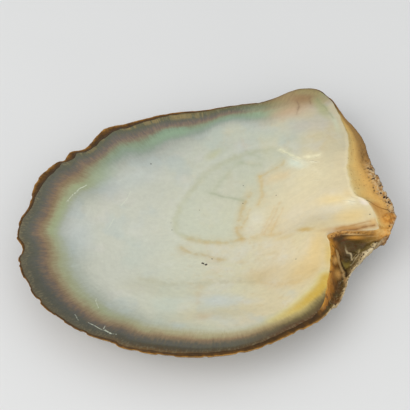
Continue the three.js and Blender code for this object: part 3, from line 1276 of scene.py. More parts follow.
    def wavering(self) -> Socket:
        """The plan point with a waver of up to 1.5 mm, so that what is laid out on it isn't straight."""
        inputs = {"Vector": self.spot, "Scale": 0.16, "Detail": 3.0}
        shifts = self.node("ShaderNodeTexNoise", {}, inputs).outputs[1]
        centred = self.vector("SUBTRACT", shifts, (0.5, 0.5, 0.5))
        return self.vector("ADD", self.flat, self.vector("MULTIPLY", centred, (3.0, 3.0, 0.0)))

    def gap(self, at: Pair) -> Wire:
        """Distance in millimetres from the plan point to another."""
        return self.measure("DISTANCE", self.flat, (*at, 0.0))

    def stroke(self, flat: Socket, start: Pair, end: Pair) -> Wire:
        """Distance in plan to a straight stroke.

        Args:
            flat: the plan point.
            start: the stroke's start.
            end: the stroke's end.

        Returns:
            The distance in millimetres.
        """
        run = (end[0] - start[0], end[1] - start[1], 0.0)
        # The length squared, so that the dot product is a share of the stroke
        length = run[0] ** 2 + run[1] ** 2
        away = self.vector("SUBTRACT", flat, (*start, 0.0))
        along = self.measure("DOT_PRODUCT", away, (run[0] / length, run[1] / length, 0.0))
        held = self.wire("ShaderNodeClamp", {}, {0: along})
        return self.measure("DISTANCE", away, self.scaled(run, held))

    def laid(self, flat: Socket, at: Pair, turn: float, unit: Pair) -> Socket:
        """The plan point on axes of its own.

        Args:
            flat: the plan point.
            at: where the axes start.
            turn: the first axis's direction in degrees.
            unit: how long a unit of each axis is, in millimetres.

        Returns:
            The point on those axes.
        """
        inputs = {"Vector": flat, "Location": (*at, 0.0), "Rotation": (0.0, 0.0, math.radians(turn))}
        inputs["Scale"] = (*unit, 1.0)
        return self.node("ShaderNodeMapping", {"vector_type": "TEXTURE"}, inputs).outputs[0]

    def bump(self, height: Wire, distance: float, strength: float = 1, under: Socket | None = None) -> Socket:
        """A surface normal from a height.

        Args:
            height: the height, in shares of the distance.
            distance: its size in millimetres.
            strength: how much of it shows.
            under: a normal that it is laid on.

        Returns:
            The normal.
        """
        inputs = {"Strength": strength, "Distance": distance * MM, "Height": height}
        if under is not None:
            inputs["Normal"] = under
        return self.node("ShaderNodeBump", {}, inputs).outputs[0]

    def finish(self, **inputs: "Wire | Colour | float") -> bpy.types.Material:
        """Feeds the surface shader and gives the material.

        Args:
            inputs: values or links, by the input's name with spaces as underscores.

        Returns:
            The material.
        """
        for name, value in inputs.items():
            self.feed(self.shader.inputs[name.replace("_", " ")], value)
        return self.material


@dataclass(frozen=True)
class SoftPatch:
    """A soft patch of another colour."""

    # Its middle, half length and half width in millimetres, and the direction of its length in degrees
    at: Pair
    reach: Pair
    turn: float
    colour: str
    strength: float
    # Where it has faded out, in shares of its reach
    faded: float = 1.25

    def share(self, paint: Paint, flat: Socket) -> Wire:
        """How much of its colour shows.

        Args:
            paint: the material.
            flat: the plan point.

        Returns:
            The share, full in its middle and none a little beyond its reach.
        """
        laid = paint.laid(flat, self.at, self.turn, self.reach)
        return paint.measure("LENGTH", laid).rise(self.faded, 0, self.strength)


@dataclass(frozen=True)
class Line:
    """A line of another colour, through plan points in millimetres."""

    points: Chain
    half_width: float
    colour: str
    strength: float
    # How much of a stained line's strength is its core's, the rest being the stain's
    core: float = 0.55

    def share(self, paint: Paint, flat: Socket, soft: float = 1.0, glow: float = 0.0) -> Wire:
        """How much of its colour shows.

        Args:
            paint: the material.
            flat: the plan point.
            soft: how far it fades, in half widths.
            glow: how far a fainter stain spreads round it, in half widths.

        Returns:
            The share, full on the line and none beyond its half width or its glow.
        """
        gaps = (paint.stroke(flat, start, end) for start, end in pairwise(self.points))
        nearest = reduce(Wire.least, gaps)
        if not glow:
            return nearest.rise(self.half_width, self.half_width * (1 - soft), self.strength)
        core = nearest.rise(self.half_width, 0, self.strength * self.core)
        return core + nearest.rise(self.half_width * glow, 0, self.strength * (1 - self.core))


def lay_marks(paint: Paint, colour: Socket, marks: tuple[SoftPatch | Line, ...], flat: Socket) -> Socket:
    """Lays soft patches or lines over a colour, in order, among them painted highlights and painted shade.

    Args:
        paint: the material.
        colour: what they lie on.
        marks: the patches or lines.
        flat: the plan point.

    Returns:
        The colour.
    """
    for mark in marks:
        colour = paint.mix(mark.share(paint, flat), colour, mark.colour)
    return colour


@dataclass(frozen=True)
class NacreFinish:
    """Pearl, with the dark growing bands along its margin, the muscle scar, stained patches, scratches and
    specks, and painted highlights and shade.
    """

    # Ramps run from the margin inward, to this many widths of the dark bands
    ramp_length: float = 1.5
    # How far the stain round a brown line spreads, in half widths of the line
    line_glow: float = 2.6
    # Length and width of the folds that carry painted highlights, in millimetres
    fold_size: Pair = (7.7, 1.1)
    side_bands: Stops = (
        (0.0, "584018"), (0.05, "625a42"), (0.12, "5c5846"), (0.19, "5e5c4c"), (0.25, "6f634e"),
        (0.31, "806a50"), (0.365, "8e7a58"), (0.43, "9c926e"), (0.5, "a3a580"), (0.57, "a8ac8e"),
        (0.66, "adb3a2"), (0.8, "b6bcac"), (1.0, "c1c5b4"),
    )
    top_bands: Stops = (
        (0.0, "5b4008"), (0.06, "6f5b2c"), (0.12, "66603e"), (0.2, "5f5f48"), (0.26, "6a6352"),
        (0.31, "7a6a5a"), (0.36, "837a62"), (0.42, "889478"), (0.5, "93a48e"), (0.59, "a3aea0"),
        (0.68, "b4b8ab"), (0.8, "bcc2b4"), (1.0, "c4c8b8"),
    )
    front_bands: Stops = (
        (0.0, "8a6428"), (0.06, "7a5820"), (0.12, "583e0c"), (0.17, "55461f"), (0.22, "65614a"),
        (0.29, "646048"), (0.34, "78694e"), (0.39, "8c7452"), (0.45, "a68d66"), (0.53, "baa780"),
        (0.61, "c2be9c"), (0.7, "c4c8b0"), (1.0, "cacbb9"),
    )
    yellow_bands: Stops = (
        (0.0, "8a6020"), (0.07, "6d4604"), (0.14, "5a3602"), (0.23, "553706"), (0.28, "5f4b22"),
        (0.34, "68572c"), (0.41, "8a7a47"), (0.49, "ad9a5e"), (0.58, "c2af6d"), (0.68, "d0c487"),
        (0.8, "d6d0a8"), (1.0, "d8d3b8"),
    )
    wing_bands: Stops = (
        (0.0, "80602c"), (0.05, "8c7a4c"), (0.13, "a0925f"), (0.22, "a3a16e"), (0.31, "9e9d73"),
        (0.4, "a8a27a"), (0.48, "b3ab80"), (0.56, "c0b28d"), (0.67, "c9bb9c"), (0.8, "ccc1a8"),
        (0.9, "cec5b4"), (1.0, "cbc5b6"),
    )
    stains_and_highlights: tuple[SoftPatch, ...] = (
        SoftPatch((-52.5, -8), (9, 17), 0, "c2cccc", 0.5), SoftPatch((-30, 28), (22, 7), 38, "bfcaca", 0.35),
        SoftPatch((-40, 18), (9, 5), 50, "cbc8c2", 0.2), SoftPatch((-44, 26), (10, 4), 48, "b2c69e", 0.3),
        SoftPatch((4, -41), (17, 5), -4, "cbd5d4", 0.4), SoftPatch((40, 14), (24, 15), 70, "e6d8b2", 0.4),
        SoftPatch((46, 26), (11, 12), 0, "e9dcb2", 0.4), SoftPatch((58, 6), (12, 8), 0, "ebdcb6", 0.5),
        SoftPatch((43, 53), (14, 6), 8, "c6beb0", 0.6), SoftPatch((26, 50.5), (20, 4), -3, "bfc4b0", 0.5),
        SoftPatch((40.5, 69.5), (13, 7), 0, "aa8862", 0.8), SoftPatch((44, 71), (8, 4), 0, "946e40", 0.55),
        SoftPatch((38, 62), (12, 6), 5, "d2b08a", 0.6), SoftPatch((22, 63), (8, 4), -6, "a4bc96", 0.3),
        SoftPatch((51, 64), (3.4, 9), 20, "a9ad78", 0.7), SoftPatch((56.5, 54), (2, 9), 14, "cfd2b4", 0.7),
        SoftPatch((40, -29), (11, 9), 30, "e0c07e", 0.65), SoftPatch((24, -26), (13, 6), 12, "d8c08c", 0.6),
        SoftPatch((46, -18), (6, 14), -8, "e8c987", 0.75), SoftPatch((4, -50), (26, 5), 6, "c9b786", 0.35),
        SoftPatch((-24, -34), (14, 6), 0, "bcb696", 0.3), SoftPatch((41.4, -6.2), (4.4, 1.8), -30, "cfa850", 0.75),
        SoftPatch((33, -6), (5, 2), 0, "dcc07c", 0.4), SoftPatch((28.6, 2.6), (4.6, 2.8), 50, "dcbc78", 0.45),
        SoftPatch((31, 29), (7.5, 3.6), 18, "e2c896", 0.5), SoftPatch((21.5, 8.5), (4.4, 5.5), 0, "e4e0cc", 0.55),
        # The pale mint patch at (39, 34) on the wing is a painted highlight
        SoftPatch((39, 34), (7, 3.2), -28, "dde8d6", 0.6), SoftPatch((7, -15.3), (2.4, 1.5), 0, "cbb580", 0.5),
        SoftPatch((15.3, -17), (2.8, 1.6), 0, "cfb985", 0.45), SoftPatch((28, -13.5), (3.4, 1.8), 10, "d6c08c", 0.4),
        SoftPatch((-0.8, -51.5), (4.2, 2.8), 0, "ccb58e", 0.45), SoftPatch((-8, -37), (16, 4), 4, "d2cba6", 0.35),
        SoftPatch((59.6, 11.4), (2.4, 3.4), 10, "ecc87e", 0.5),
        # The near white patches at (60.5, 6.4) and (66.2, 6), at the hinge's tooth, are painted highlights
        SoftPatch((60.5, 6.4), (3.4, 1.9), -20, "fdf6d8", 0.75),
        SoftPatch((66.2, 6), (3.4, 1.9), -35, "fbeee4", 0.85), SoftPatch((54, 9), (9, 4), -10, "f0d490", 0.65),
        SoftPatch((61, -2), (11, 6), 8, "efcf8a", 0.7), SoftPatch((60, -8.6), (13, 2.6), 4, "c88c34", 0.85),
        SoftPatch((69.5, -6), (4, 3.4), 40, "deac5c", 0.7), SoftPatch((4, 42), (6, 2.6), 28, "bab888", 0.5),
    )
    # Brown stained lines, painted highlights along creases and dark dashes on the wing
    lines: tuple[Line, ...] = (
        Line(((-6.7, -3), (0, -4.3), (8.3, -4.6), (14.6, -3.3)), 1.9, "ccae68", 0.5),
        Line(((14.6, -3.3), (19.5, -2.8), (26.3, -1.9), (31, -2.6)), 1.8, "d2b272", 0.5),
        Line(((-9.4, -8.7), (-4.9, -11.4), (2.1, -13.8), (6, -14.6)), 1.7, "c2a86a", 0.55),
        Line(((2.1, 22.7), (5.7, 21.5), (16.3, 18.6)), 1.1, "a4ab8c", 0.55),
        Line(((18, 43.2), (21.9, 41), (25.4, 38.5)), 0.9, "a9b094", 0.45),
        Line(((15.8, 37.7), (20.1, 36.5), (24, 35.6)), 0.9, "a9b094", 0.45),
        Line(((16.5, 38.4), (11.1, 34.5), (6.4, 28.7), (3.9, 24.4)), 1.3, "aeb394", 0.4),
        Line(((33.6, 37), (33, 34.6), (29, 32.9), (23.6, 30.3)), 1.2, "c2a45c", 0.4),
        Line(((23.6, 30.3), (24.3, 26.9), (24.5, 20), (23, 16)), 1.4, "cfac60", 0.45),
        Line(
            ((19.9, 22.2), (18.1, 19.4), (15.9, 15), (14.8, 10), (13.7, 5), (14, 1.2), (15, -2.6)),
            1.4, "c8a65c", 0.5,
        ),
        Line(((19.1, 13.4), (16.9, 8.1), (15.4, 3.5)), 1, "cca858", 0.4),
        Line(((31.7, 15), (28, 6), (24.4, -1.5)), 0.7, "d4b070", 0.4),
        Line(((29.6, 14), (26, 5.5), (23.6, -0.4)), 0.6, "d8b87c", 0.35),
        Line(((33, 12), (30.4, 5.5), (27.6, -1)), 0.6, "d4b070", 0.35),
        Line(((-26, -29), (-14, -31.6), (0, -29.5), (12, -28.6), (22, -30)), 2.4, "b9b492", 0.4),
        Line(((22, -30), (30, -34.5), (38, -35), (45, -30)), 2.6, "d6b87a", 0.45),
        Line(((-2, -32), (-3.2, -37), (-2.6, -42)), 2.2, "ccb68a", 0.35),
        Line(((51, -11.6), (56, -10), (62, -9), (70, -7.6)), 0.8, "8c5618", 0.8),
        Line(((54, -8.6), (61, -6.8), (68, -5)), 0.7, "b27a2e", 0.6),
        # Painted highlights along the creases on the wing
        Line(((32.4, 43), (36.4, 39.4), (40.8, 36.6)), 0.8, "f6f0c8", 0.6),
        Line(((43, 37), (46, 36), (49, 35.6)), 1.1, "fbf3cc", 0.75),
        Line(((38, 37), (43, 33.6), (48.6, 31)), 0.6, "f3ebca", 0.35),
        Line(((41, 34), (45.6, 29.6), (49, 24.6)), 0.6, "f0e4c0", 0.3),
        Line(((40.4, 68.5), (40.8, 64), (40.2, 60.5)), 0.6, "7d5f44", 0.55),
        Line(((46.2, 71), (46, 66.5)), 0.5, "7d5f3c", 0.45),
        Line(((49, 70), (52.6, 64), (56, 57)), 0.7, "8c9168", 0.45),
    )
    scratches: tuple[Line, ...] = (
        Line(((-49.4, 39.1), (-48.2, 42), (-47.4, 43.7)), 0.32, "d8dccb", 0.5),
        Line(((-57.8, 9.4), (-56, 14.1), (-52.8, 18.5), (-50.5, 20.5)), 0.34, "d3dcb8", 0.7),
        Line(((-35.4, 12.1), (-33, 16.4), (-31, 20.2)), 0.3, "e2e4da", 0.55),
        Line(((-40.8, -2.2), (-38.1, 5)), 0.3, "dde0d0", 0.5),
        Line(((-43.6, -43.5), (-42.5, -49.5)), 0.3, "d3dac2", 0.6),
        Line(((-46, -58.6), (-41.6, -61.9), (-37.1, -64.9)), 0.32, "cdd8c6", 0.75),
        Line(((-40, -62.8), (-36.7, -64.9), (-34.8, -65.2)), 0.34, "cdd8c6", 0.8),
        Line(((-39.6, -60.6), (-39.9, -62.4), (-38.6, -63.6)), 0.28, "cdd8c6", 0.6),
        Line(((-51.3, -55), (-50.4, -57.9)), 0.28, "cdd8c6", 0.5),
    )
    # Where painted highlights lie along the nacre's folds, which take one colour of their own
    highlit_folds: tuple[SoftPatch, ...] = (
        SoftPatch((38, 37), (9, 3), -36, "", 0.8), SoftPatch((45.5, 33.5), (8, 4.5), -28, "", 1),
        SoftPatch((60, 7), (6, 3.4), -16, "", 1), SoftPatch((47, 22), (6, 7), -20, "", 0.4),
    )
    # Plan point and radius
    specks: tuple[tuple[float, float, float], ...] = (
        (-0.9, -17.4, 0.5), (0.4, -18.1, 0.5), (2.9, -14.6, 0.22), (-13.8, 1.7, 0.16), (-14.3, 5.6, 0.12),
        (-23.2, 35.5, 0.2), (16.1, 17.2, 0.2), (37.1, -21.5, 0.2), (68.2, -1.2, 0.2), (16.4, 26.4, 0.1),
        (-2.4, 13.6, 0.1), (30.2, 19.6, 0.1),
    )

    def material(self, shift: np.ndarray) -> bpy.types.Material:
        """Builds the material.

        Args:
            shift: the plan point that lies over the origin.

        Returns:
            The material.
        """
        paint = Paint("nacre", shift)
        spot, x, y = paint.spot, paint.x, paint.y
        inset = paint.note("inset")
        clouds = paint.noise(spot, 0.05, 3)
        streaks = paint.noise(paint.along_rim(CENTRE, inset * 0.3), 1.1, 2, 0.6)
        hairs = paint.noise(paint.along_rim(CENTRE, inset * 0.4), 2.4, 2, 0.6)
        rings = paint.noise(paint.along_rim(CENTRE, inset * 5), 0.13, 3, 0.6)
        waver = (clouds - 0.5) * 0.16 + (streaks - 0.5) * 0.14 + (rings - 0.5) * 0.08
        band = paint.note("band") + waver * paint.note("band").rise(0, 0.3)
        colour = self.middle(paint, clouds)
        bands = self.bands(paint, band)
        bands = self.tan_blocks(paint, inset, bands)
        colour = paint.mix(band.rise(self.ramp_length * 0.95, 0.8), colour, bands)
        colour = self.play(paint, colour, band, streaks, hairs)
        colour = self.scar(paint, colour)
        # Painted shade: darker over the far half of the bowl inside the bands, in a strip by the bands' inner
        # edge on the left, and over the outer bands towards the front left
        painted_shade = y.rise(-8, 52) * band.rise(0.5, 0.9) * 0.17 + band.near(1.1, 0.55) * x.rise(10, -20) * 0.08
        painted_shade = painted_shade + y.rise(-6, -45) * x.rise(34, 4) * band.rise(0.62, 0.3) * 0.26
        colour = paint.lit(colour, 1 - painted_shade)
        wavering = paint.wavering()
        colour = lay_marks(paint, colour, self.stains_and_highlights, wavering)
        broken = paint.noise(spot, 0.3, 3).rise(0.3, 0.6) * 0.6 + 0.4
        for line in self.lines:
            share = line.share(paint, wavering, glow=self.line_glow)
            colour = paint.mix(share * broken, colour, line.colour)
        yellow = paint.note("yellow") * (0.6 + clouds * 0.8) * y.rise(-70, -44)
        glint = streaks.rise(0.4, 0.7) * 0.12
        colour = paint.mix(yellow.rise(0, 0.6) * band.rise(0.7, 1) * 0.55, colour, "e0cf7c")
        gold = paint.mix(band.rise(0.58, 0.86), "94702c", "d2aa30")
        colour = paint.mix(yellow.rise(0.3, 1.05) * (0.85 - glint), colour, gold)
        brink = paint.note("brink")
        warmed = brink.rise(12, 3) * (x * 0.5 + y).rise(30, 44) * y.rise(40, 32)
        colour = paint.mix(warmed * 0.4, colour, "efdcb0")
        # Cream along the nacre's edge at the hinge: partly the bead's own colour, partly a painted highlight
        # on the bead
        colour = paint.mix(brink.rise(2.2, 0.5) * paint.note("plate") * y.rise(0, 9) * 0.3, colour, "f0dfb0")
        colour = paint.mix(brink.rise(4, 0.6) * y.near(-23, 12) * x.rise(44, 48) * 0.8, colour, "e2c26e")
        # Painted highlights along the folds, in a pale cream; the same share also bumps the surface
        fold_highlights = self.fold_highlights(paint)
        colour = paint.mix(fold_highlights * 0.75, colour, "eee6c4")
        mottled = paint.noise(spot, 0.5, 4, 0.65) - 0.5
        combed = (hairs - 0.5) * 0.3 + (streaks - 0.5) * 0.38
        shade = (rings - 0.5) * 0.14 + mottled * 0.2 + combed * (0.1 + band.rise(1.0, 0.3) * 0.9)
        colour = paint.lit(colour, 1 + shade)
        scratched = self.scratched(paint, wavering)
        broken = paint.noise(spot, 0.9, 2).rise(0.3, 0.55)
        colour = paint.mix(scratched * broken, colour, "dde2cc")
        colour = paint.mix(self.speckled(paint), colour, "33261a")
        fine = paint.noise(spot, 0.6, 3)
        normal = paint.bump(fine, 0.04, 0.5)
        normal = paint.bump(rings, 0.12, 0.4, normal)
        normal = paint.bump(fold_highlights, 0.25, 0.7, normal)
        normal = paint.bump(1 - scratched, 0.05, 0.6, normal)
        rough = 0.36 + (fine - 0.5) * 0.3 + band.rise(1, 0.2) * 0.1
        return paint.finish(
            Base_Color=colour,
            Roughness=rough,
            Normal=normal,
            Coat_Weight=0.12,
            Coat_Roughness=0.22,
            Specular_IOR_Level=0.4,
        )

    @staticmethod
    def middle(paint: Paint, clouds: Wire) -> Socket:
        """Colour inside the bands: blue grey pearl that warms to cream and peach at the hinge.

        Args:
            paint: the material.
            clouds: large soft noise.

        Returns:
            The colour.
        """
        spot, x, y = paint.spot, paint.x, paint.y
        along = x * 0.0105 - y * 0.0028 + 0.6 + (clouds - 0.5) * 0.3
        stops = (
            (0.0, "cfd1c0"), (0.3, "d2d3c2"), (0.5, "d5d6c0"),
            (0.66, "d8d6bb"), (0.85, "dcd6b4"), (1.0, "e0d4ae"),
        )
        colour = paint.ramp(along, stops)
        cool = paint.noise(spot, 0.03, 2).rise(0.42, 0.66) * y.rise(12, 48)
        colour = paint.mix(cool * 0.5, colour, "c3cbc0")
        warm = paint.noise(spot, 0.13, 4, 0.62).rise(0.5, 0.74)
        colour = paint.mix(warm * x.rise(-35, 30) * 0.4, colour, "dcc598")
        low = x.rise(5, 50) * y.rise(34, -12)
        colour = paint.mix(low * 0.4, colour, "dcc794")
        flecks = paint.noise(spot, 0.34, 3, 0.6).rise(0.54, 0.7) * x.rise(-30, 15) * y.rise(20, -10)
        colour = paint.mix(flecks * 0.25, colour, "cdb27c")
        pale = paint.noise(spot, 0.09, 4, 0.6).rise(0.5, 0.7)
        return paint.mix(pale * 0.3, colour, "dfe0d4")

    def bands(self, paint: Paint, band: Wire) -> Socket:
        """Colours of the growing bands, which differ along the margin.

        Args:
            paint: the material.
            band: how far in the point is, in widths of the bands.

        Returns:
            The colour.
        """
        x, y = paint.x, paint.y
        across = band * (1 / self.ramp_length)
        tables = (self.side_bands, self.top_bands, self.front_bands, self.yellow_bands, self.wing_bands)
        side, top, front, yellow, wing = (paint.ramp(across, stops) for stops in tables)
        colour = paint.mix((y + x * 0.45).rise(-8, 26), side, top)
        colour = paint.mix((x * 0.8 - y).rise(20, 62), colour, front)
        colour = paint.mix((x * 0.9 - y * 0.4).rise(36, 58) * y.rise(0, -20), colour, yellow)
        return paint.mix(x.rise(16, 40) * y.rise(30, 55), colour, wing)

    @staticmethod
    def tan_blocks(paint: Paint, inset: Wire, colour: Socket) -> Socket:
        """Tan blocks and short dashes just inside the horny edge, strongest along the back.

        Args:
            paint: the material.
            inset: the point's distance from the margin.
            colour: what they lie on.

        Returns:
            The colour.
        """
        x, y = paint.x, paint.y
        back = (y + x * 0.3).rise(8, 40) * x.rise(10, -12)
        blocks = paint.noise(paint.along_rim(CENTRE, 0.0), 0.24, 2, 0.7).rise(0.47, 0.56)
        strip = inset.rise(1.6, 2.6) * inset.rise(5.2, 3.8)
        colour = paint.mix(blocks * strip * back * 0.75, colour, "9c8550")
        dashes = paint.noise(paint.along_rim(CENTRE, inset * 0.5), 1.5, 2, 0.6).rise(0.5, 0.62)
        strip = inset.rise(0.8, 1.6) * inset.rise(4.8, 3)
        return paint.mix(dashes * strip * 0.45, colour, "8f8460")

    @staticmethod
    def play(paint: Paint, colour: Socket, band: Wire, streaks: Wire, hairs: Wire) -> Socket:
        """The play of colour: slate, mauve and violet in the dark bands, then green, pink and blue.

        Args:
            paint: the material.
            colour: the colour so far.
            band: how far in the point is, in widths of the bands.
            streaks: fine noise in streaks across the bands.
            hairs: finer streaks.

        Returns:
            The colour.
        """
        spot, x, y = paint.spot, paint.x, paint.y
        drift = paint.noise(spot, 0.045, 3)
        side = x.rise(30, -10)
        slate = band.rise(0.08, 0.2) * band.rise(0.5, 0.3) * hairs.rise(0.62, 0.4) * side
        colour = paint.mix(slate * 0.3, colour, "4e594c")
        mauve = band.rise(0.3, 0.42) * band.rise(0.66, 0.5) * streaks.rise(0.42, 0.62) * side
        colour = paint.mix(mauve * 0.18, colour, "8e7262")
        violet = band.rise(0.2, 0.32) * band.rise(0.52, 0.42) * streaks.rise(0.6, 0.4) * side
        colour = paint.mix(violet * 0.22, colour, "6c6670")
        green = band.rise(0.6, 0.72) * band.rise(0.95, 0.78) * drift.rise(0.42, 0.6) * side
        colour = paint.mix(green * 0.3, colour, "a9bc8c")
        teal = band.rise(0.5, 0.62) * band.rise(0.96, 0.74) * y.rise(34, 52) * x.rise(42, 26)
        colour = paint.mix(teal * drift.rise(0.4, 0.62) * 0.25, colour, "86b49c")
        inside = band.rise(0.85, 1.1)
        colour = paint.mix(drift.rise(0.52, 0.66) * inside * 0.14, colour, "d9cdc4")
        colour = paint.mix(drift.rise(0.46, 0.34) * inside * band.rise(3.2, 1.6) * 0.3, colour, "c2d2c6")
        blue = paint.noise(spot, 0.07, 3).rise(0.5, 0.66) * inside * band.rise(3, 1.8)
        return paint.mix(blue * 0.3, colour, "bccbca")

    @staticmethod
    def scar(paint: Paint, colour: Socket) -> Socket:
        """The muscle scar's greenish face, its soft olive ring, a painted highlight just outside its edge and
        the amber edge of the stained part.

        Args:
            paint: the material.
            colour: what they lie on.

        Returns:
            The colour.
        """
        spot, x, y = paint.spot, paint.x, paint.y
        wobble = (paint.noise(spot, 0.3, 3) - 0.5) * 2.4
        scar = paint.note("scar") + wobble
        amber = paint.note("amber") + wobble * 1.2
        left = (y * 0.8 - x).rise(-26, 4)
        face = scar.rise(1.5, -2) * amber.rise(-3, 3)
        colour = paint.mix(face * 0.4, colour, "cbd0b8")
        olive = paint.noise(spot, 0.2, 3).rise(0.3, 0.6) * 0.6 + 0.4
        colour = paint.mix(scar.near(-0.6, 2.4) * left * olive * 0.34, colour, "b8b88c")
        # Painted highlight: a pale line just outside the scar's edge, on its left side
        colour = paint.mix(scar.near(2.4, 2) * left * 0.15, colour, "e0e2d2")
        stained = amber.rise(2, -10) * x.rise(66, 40)
        return paint.mix(stained * 0.3, colour, "e4d4b0")

    def fold_highlights(self, paint: Paint) -> Wire:
        """Painted highlights along the nacre's folds, on the wing and at the hinge's tooth.

        Args:
            paint: the material.

        Returns:
            The share of a painted fold highlight.
        """
        creased = []
        for stain in self.highlit_folds:
            along = paint.laid(paint.flat, stain.at, stain.turn, self.fold_size)
            folds = paint.noise(along, 1, 3, 0.6).rise(0.52, 0.66)
            creased.append(stain.share(paint, paint.flat) * folds)
        return reduce(Wire.most, creased)

    def scratched(self, paint: Paint, flat: Socket) -> Wire:
        """Where the pale scratches are."""
        return reduce(Wire.most, (line.share(paint, flat, 0.8) for line in self.scratches))

    def speckled(self, paint: Paint) -> Wire:
        """Where the dark specks are."""
        ragged = (paint.noise(paint.spot, 1.8, 2) - 0.5) * 1.4
        marks = (
            (paint.gap((across, up)) + ragged * radius * 2).rise(radius + 0.15, radius * 0.7)
            for across, up, radius in self.specks
        )
        return reduce(Wire.most, marks)


@dataclass(frozen=True)
class RindFinish:
    """Horn and old shell: brown strip and wall, gold hinge plate, dark hollow and its pale lip; the hollow's
    dark is partly painted shade and the strip's outer edge partly a painted highlight.
    """

    plate_colours: Stops = (
        (0.0, "ead9a6"), (0.05, "e9d296"), (0.12, "e4c680"), (0.3, "e3bd70"), (0.5, "e2b566"),
        (0.7, "d6a558"), (0.86, "c08e4a"), (1.0, "94683a"),
    )
    # The dark middle of the ramp, on the hollow's floor, is partly the shell's own colour and partly painted
    # shade in the hollow's depth
    hollow_colours: Stops = (
        (0.0, "d8a040"), (0.06, "cc8f34"), (0.2, "c08030"), (0.34, "b07630"), (0.42, "6a4c20"),
        (0.52, "4e3c1a"), (0.7, "5e4c24"), (0.8, "77623a"), (0.9, "c4ac7c"), (1.0, "dccaa2"),
    )
    hollow_stains_and_shade: tuple[SoftPatch, ...] = (
        # The dark patch at (58, -16.4), below the top of the notch, is partly painted shade
        SoftPatch((58, -16.4), (5.2, 5.4), 0, "4c3c20", 0.85), SoftPatch((65.5, -14), (4.6, 3), 0, "84723a", 0.7),
        SoftPatch((57.4, -20.6), (2.2, 3), 0, "a08c3e", 0.8), SoftPatch((53.2, -34.6), (2.8, 5), 0, "84603a", 0.8),
        SoftPatch((52.6, -45), (3, 5), 0, "84511f", 0.7), SoftPatch((66.5, -17.6), (4, 2.4), 40, "dccba4", 0.8),
    )
    # On the steep wall under the nacre: laid out by x and by y and height together
    hollow_lumps: tuple[SoftPatch, ...] = (
        SoftPatch((56.4, -2.2), (3.4, 4.6), 0, "6c5230", 0.85),
        SoftPatch((53.4, -6.9), (2.3, 3.1), 0, "52320e", 0.95), SoftPatch((53.2, -6.9), (1.6, 2.1), 0, "ecb768", 1),
        SoftPatch((54.2, -12.4), (3, 3.8), 0, "52320e", 0.95), SoftPatch((54, -12.4), (2.2, 2.8), 0, "eab566", 1),
    )
    hollow_strands: tuple[Line, ...] = (
        Line(((53.8, -17.5), (54.8, -21), (56.6, -25), (57.4, -29), (57, -33)), 0.9, "dcb87c", 0.8),
        Line(((55, -17.5), (56, -21), (57.8, -25.4), (58.2, -30)), 0.7, "3a2810", 0.9),
        Line(((57, -12.4), (59.4, -15), (60.2, -18.4)), 0.6, "d8c69a", 0.8),
        Line(((60.2, -18.4), (62.6, -15.4), (63.6, -12.6)), 0.5, "cbb684", 0.7),
        Line(((59.5, -21), (62.6, -17.6), (66, -14.4)), 0.6, "c9b68c", 0.6),
    )
    # On the steep wall below the hinge's end: laid out by x and height
    notch_stains: tuple[SoftPatch, ...] = (
        SoftPatch((62.2, 14), (5, 1.5), 0, "dca048", 0.95), SoftPatch((61.5, 15.7), (6, 0.5), 0, "ecc88c", 0.8),
        SoftPatch((58, 13.2), (5, 0.4), 0, "5c3412", 0.8), SoftPatch((70, 14.6), (5, 0.6), 0, "d6bc8c", 0.8),
        SoftPatch((69, 12.6), (5, 1.6), 0, "8a763a", 0.7),
    )

    def material(self, shift: np.ndarray) -> bpy.types.Material:
        """Builds the material.

        Args:
            shift: the plan point that lies over the origin.

        Returns:
            The material.
        """
        paint = Paint("rind", shift)
        spot = paint.spot
        beyond = paint.note("beyond")
        clouds = paint.noise(spot, 0.25, 3)
        fine = paint.noise(spot, 1.1, 4, 0.6)
        colour = self.horn(paint, beyond, fine)
        colour = paint.mix(paint.note("plate"), colour, self.plate(paint, beyond, clouds, fine))
        colour = paint.mix(paint.note("hollow"), colour, self.hollow(paint, beyond, clouds, fine))
        knob = paint.note("knob").rise(0.05, 0.5)
        stops = ((0.36, "4a260a"), (0.42, "9a5c1e"), (0.52, "c6862f"), (0.66, "d8a658"))
        colour = paint.mix(knob * 0.85, colour, paint.ramp(clouds * 0.5 + fine * 0.5, stops))
        normal = paint.bump(fine, 0.3, 0.8)
        normal = paint.bump(paint.noise(spot, 3.2, 2), 0.08, 0.5, normal)
        return paint.finish(
            Base_Color=colour,
            Roughness=0.52 + (fine - 0.5) * 0.5,
            Normal=normal,
            Coat_Weight=0.04,
            Specular_IOR_Level=0.25,
        )

    @staticmethod
    def horn(paint: Paint, beyond: Wire, fine: Wire) -> Socket:
        """Brown horny strip, lighter towards its outer edge partly as a painted highlight on the rim, which
        darkens down the edge wall in thin layers.

        Args:
            paint: the material.
            beyond: 0 at the nacre's edge, 1 at the outermost edge, 2 at the wall's foot.
            fine: fine noise.

        Returns:
            The colour.
        """
        spot, y, z = paint.spot, paint.y, paint.z
        layers = paint.noise(paint.join(z * 4, 0.0, fine * 1.5), 1, 2)
        patchy = paint.noise(spot, 0.4, 3)
        across = beyond * 0.75 + (patchy - 0.5) * 0.9 + (fine - 0.5) * 0.7
        # Lighter to amber at the strip's outer edge: partly the horn's own colour, partly a painted highlight
        # on the rim
        stops = ((0.0, "3a2608"), (0.3, "4a3008"), (0.55, "67430e"), (0.75, "865818"), (1.0, "ab7c30"))
        wall = paint.ramp(layers, ((0.32, "2e1f0c"), (0.45, "4a3015"), (0.6, "6c4c20"), (0.72, "9a7640")))
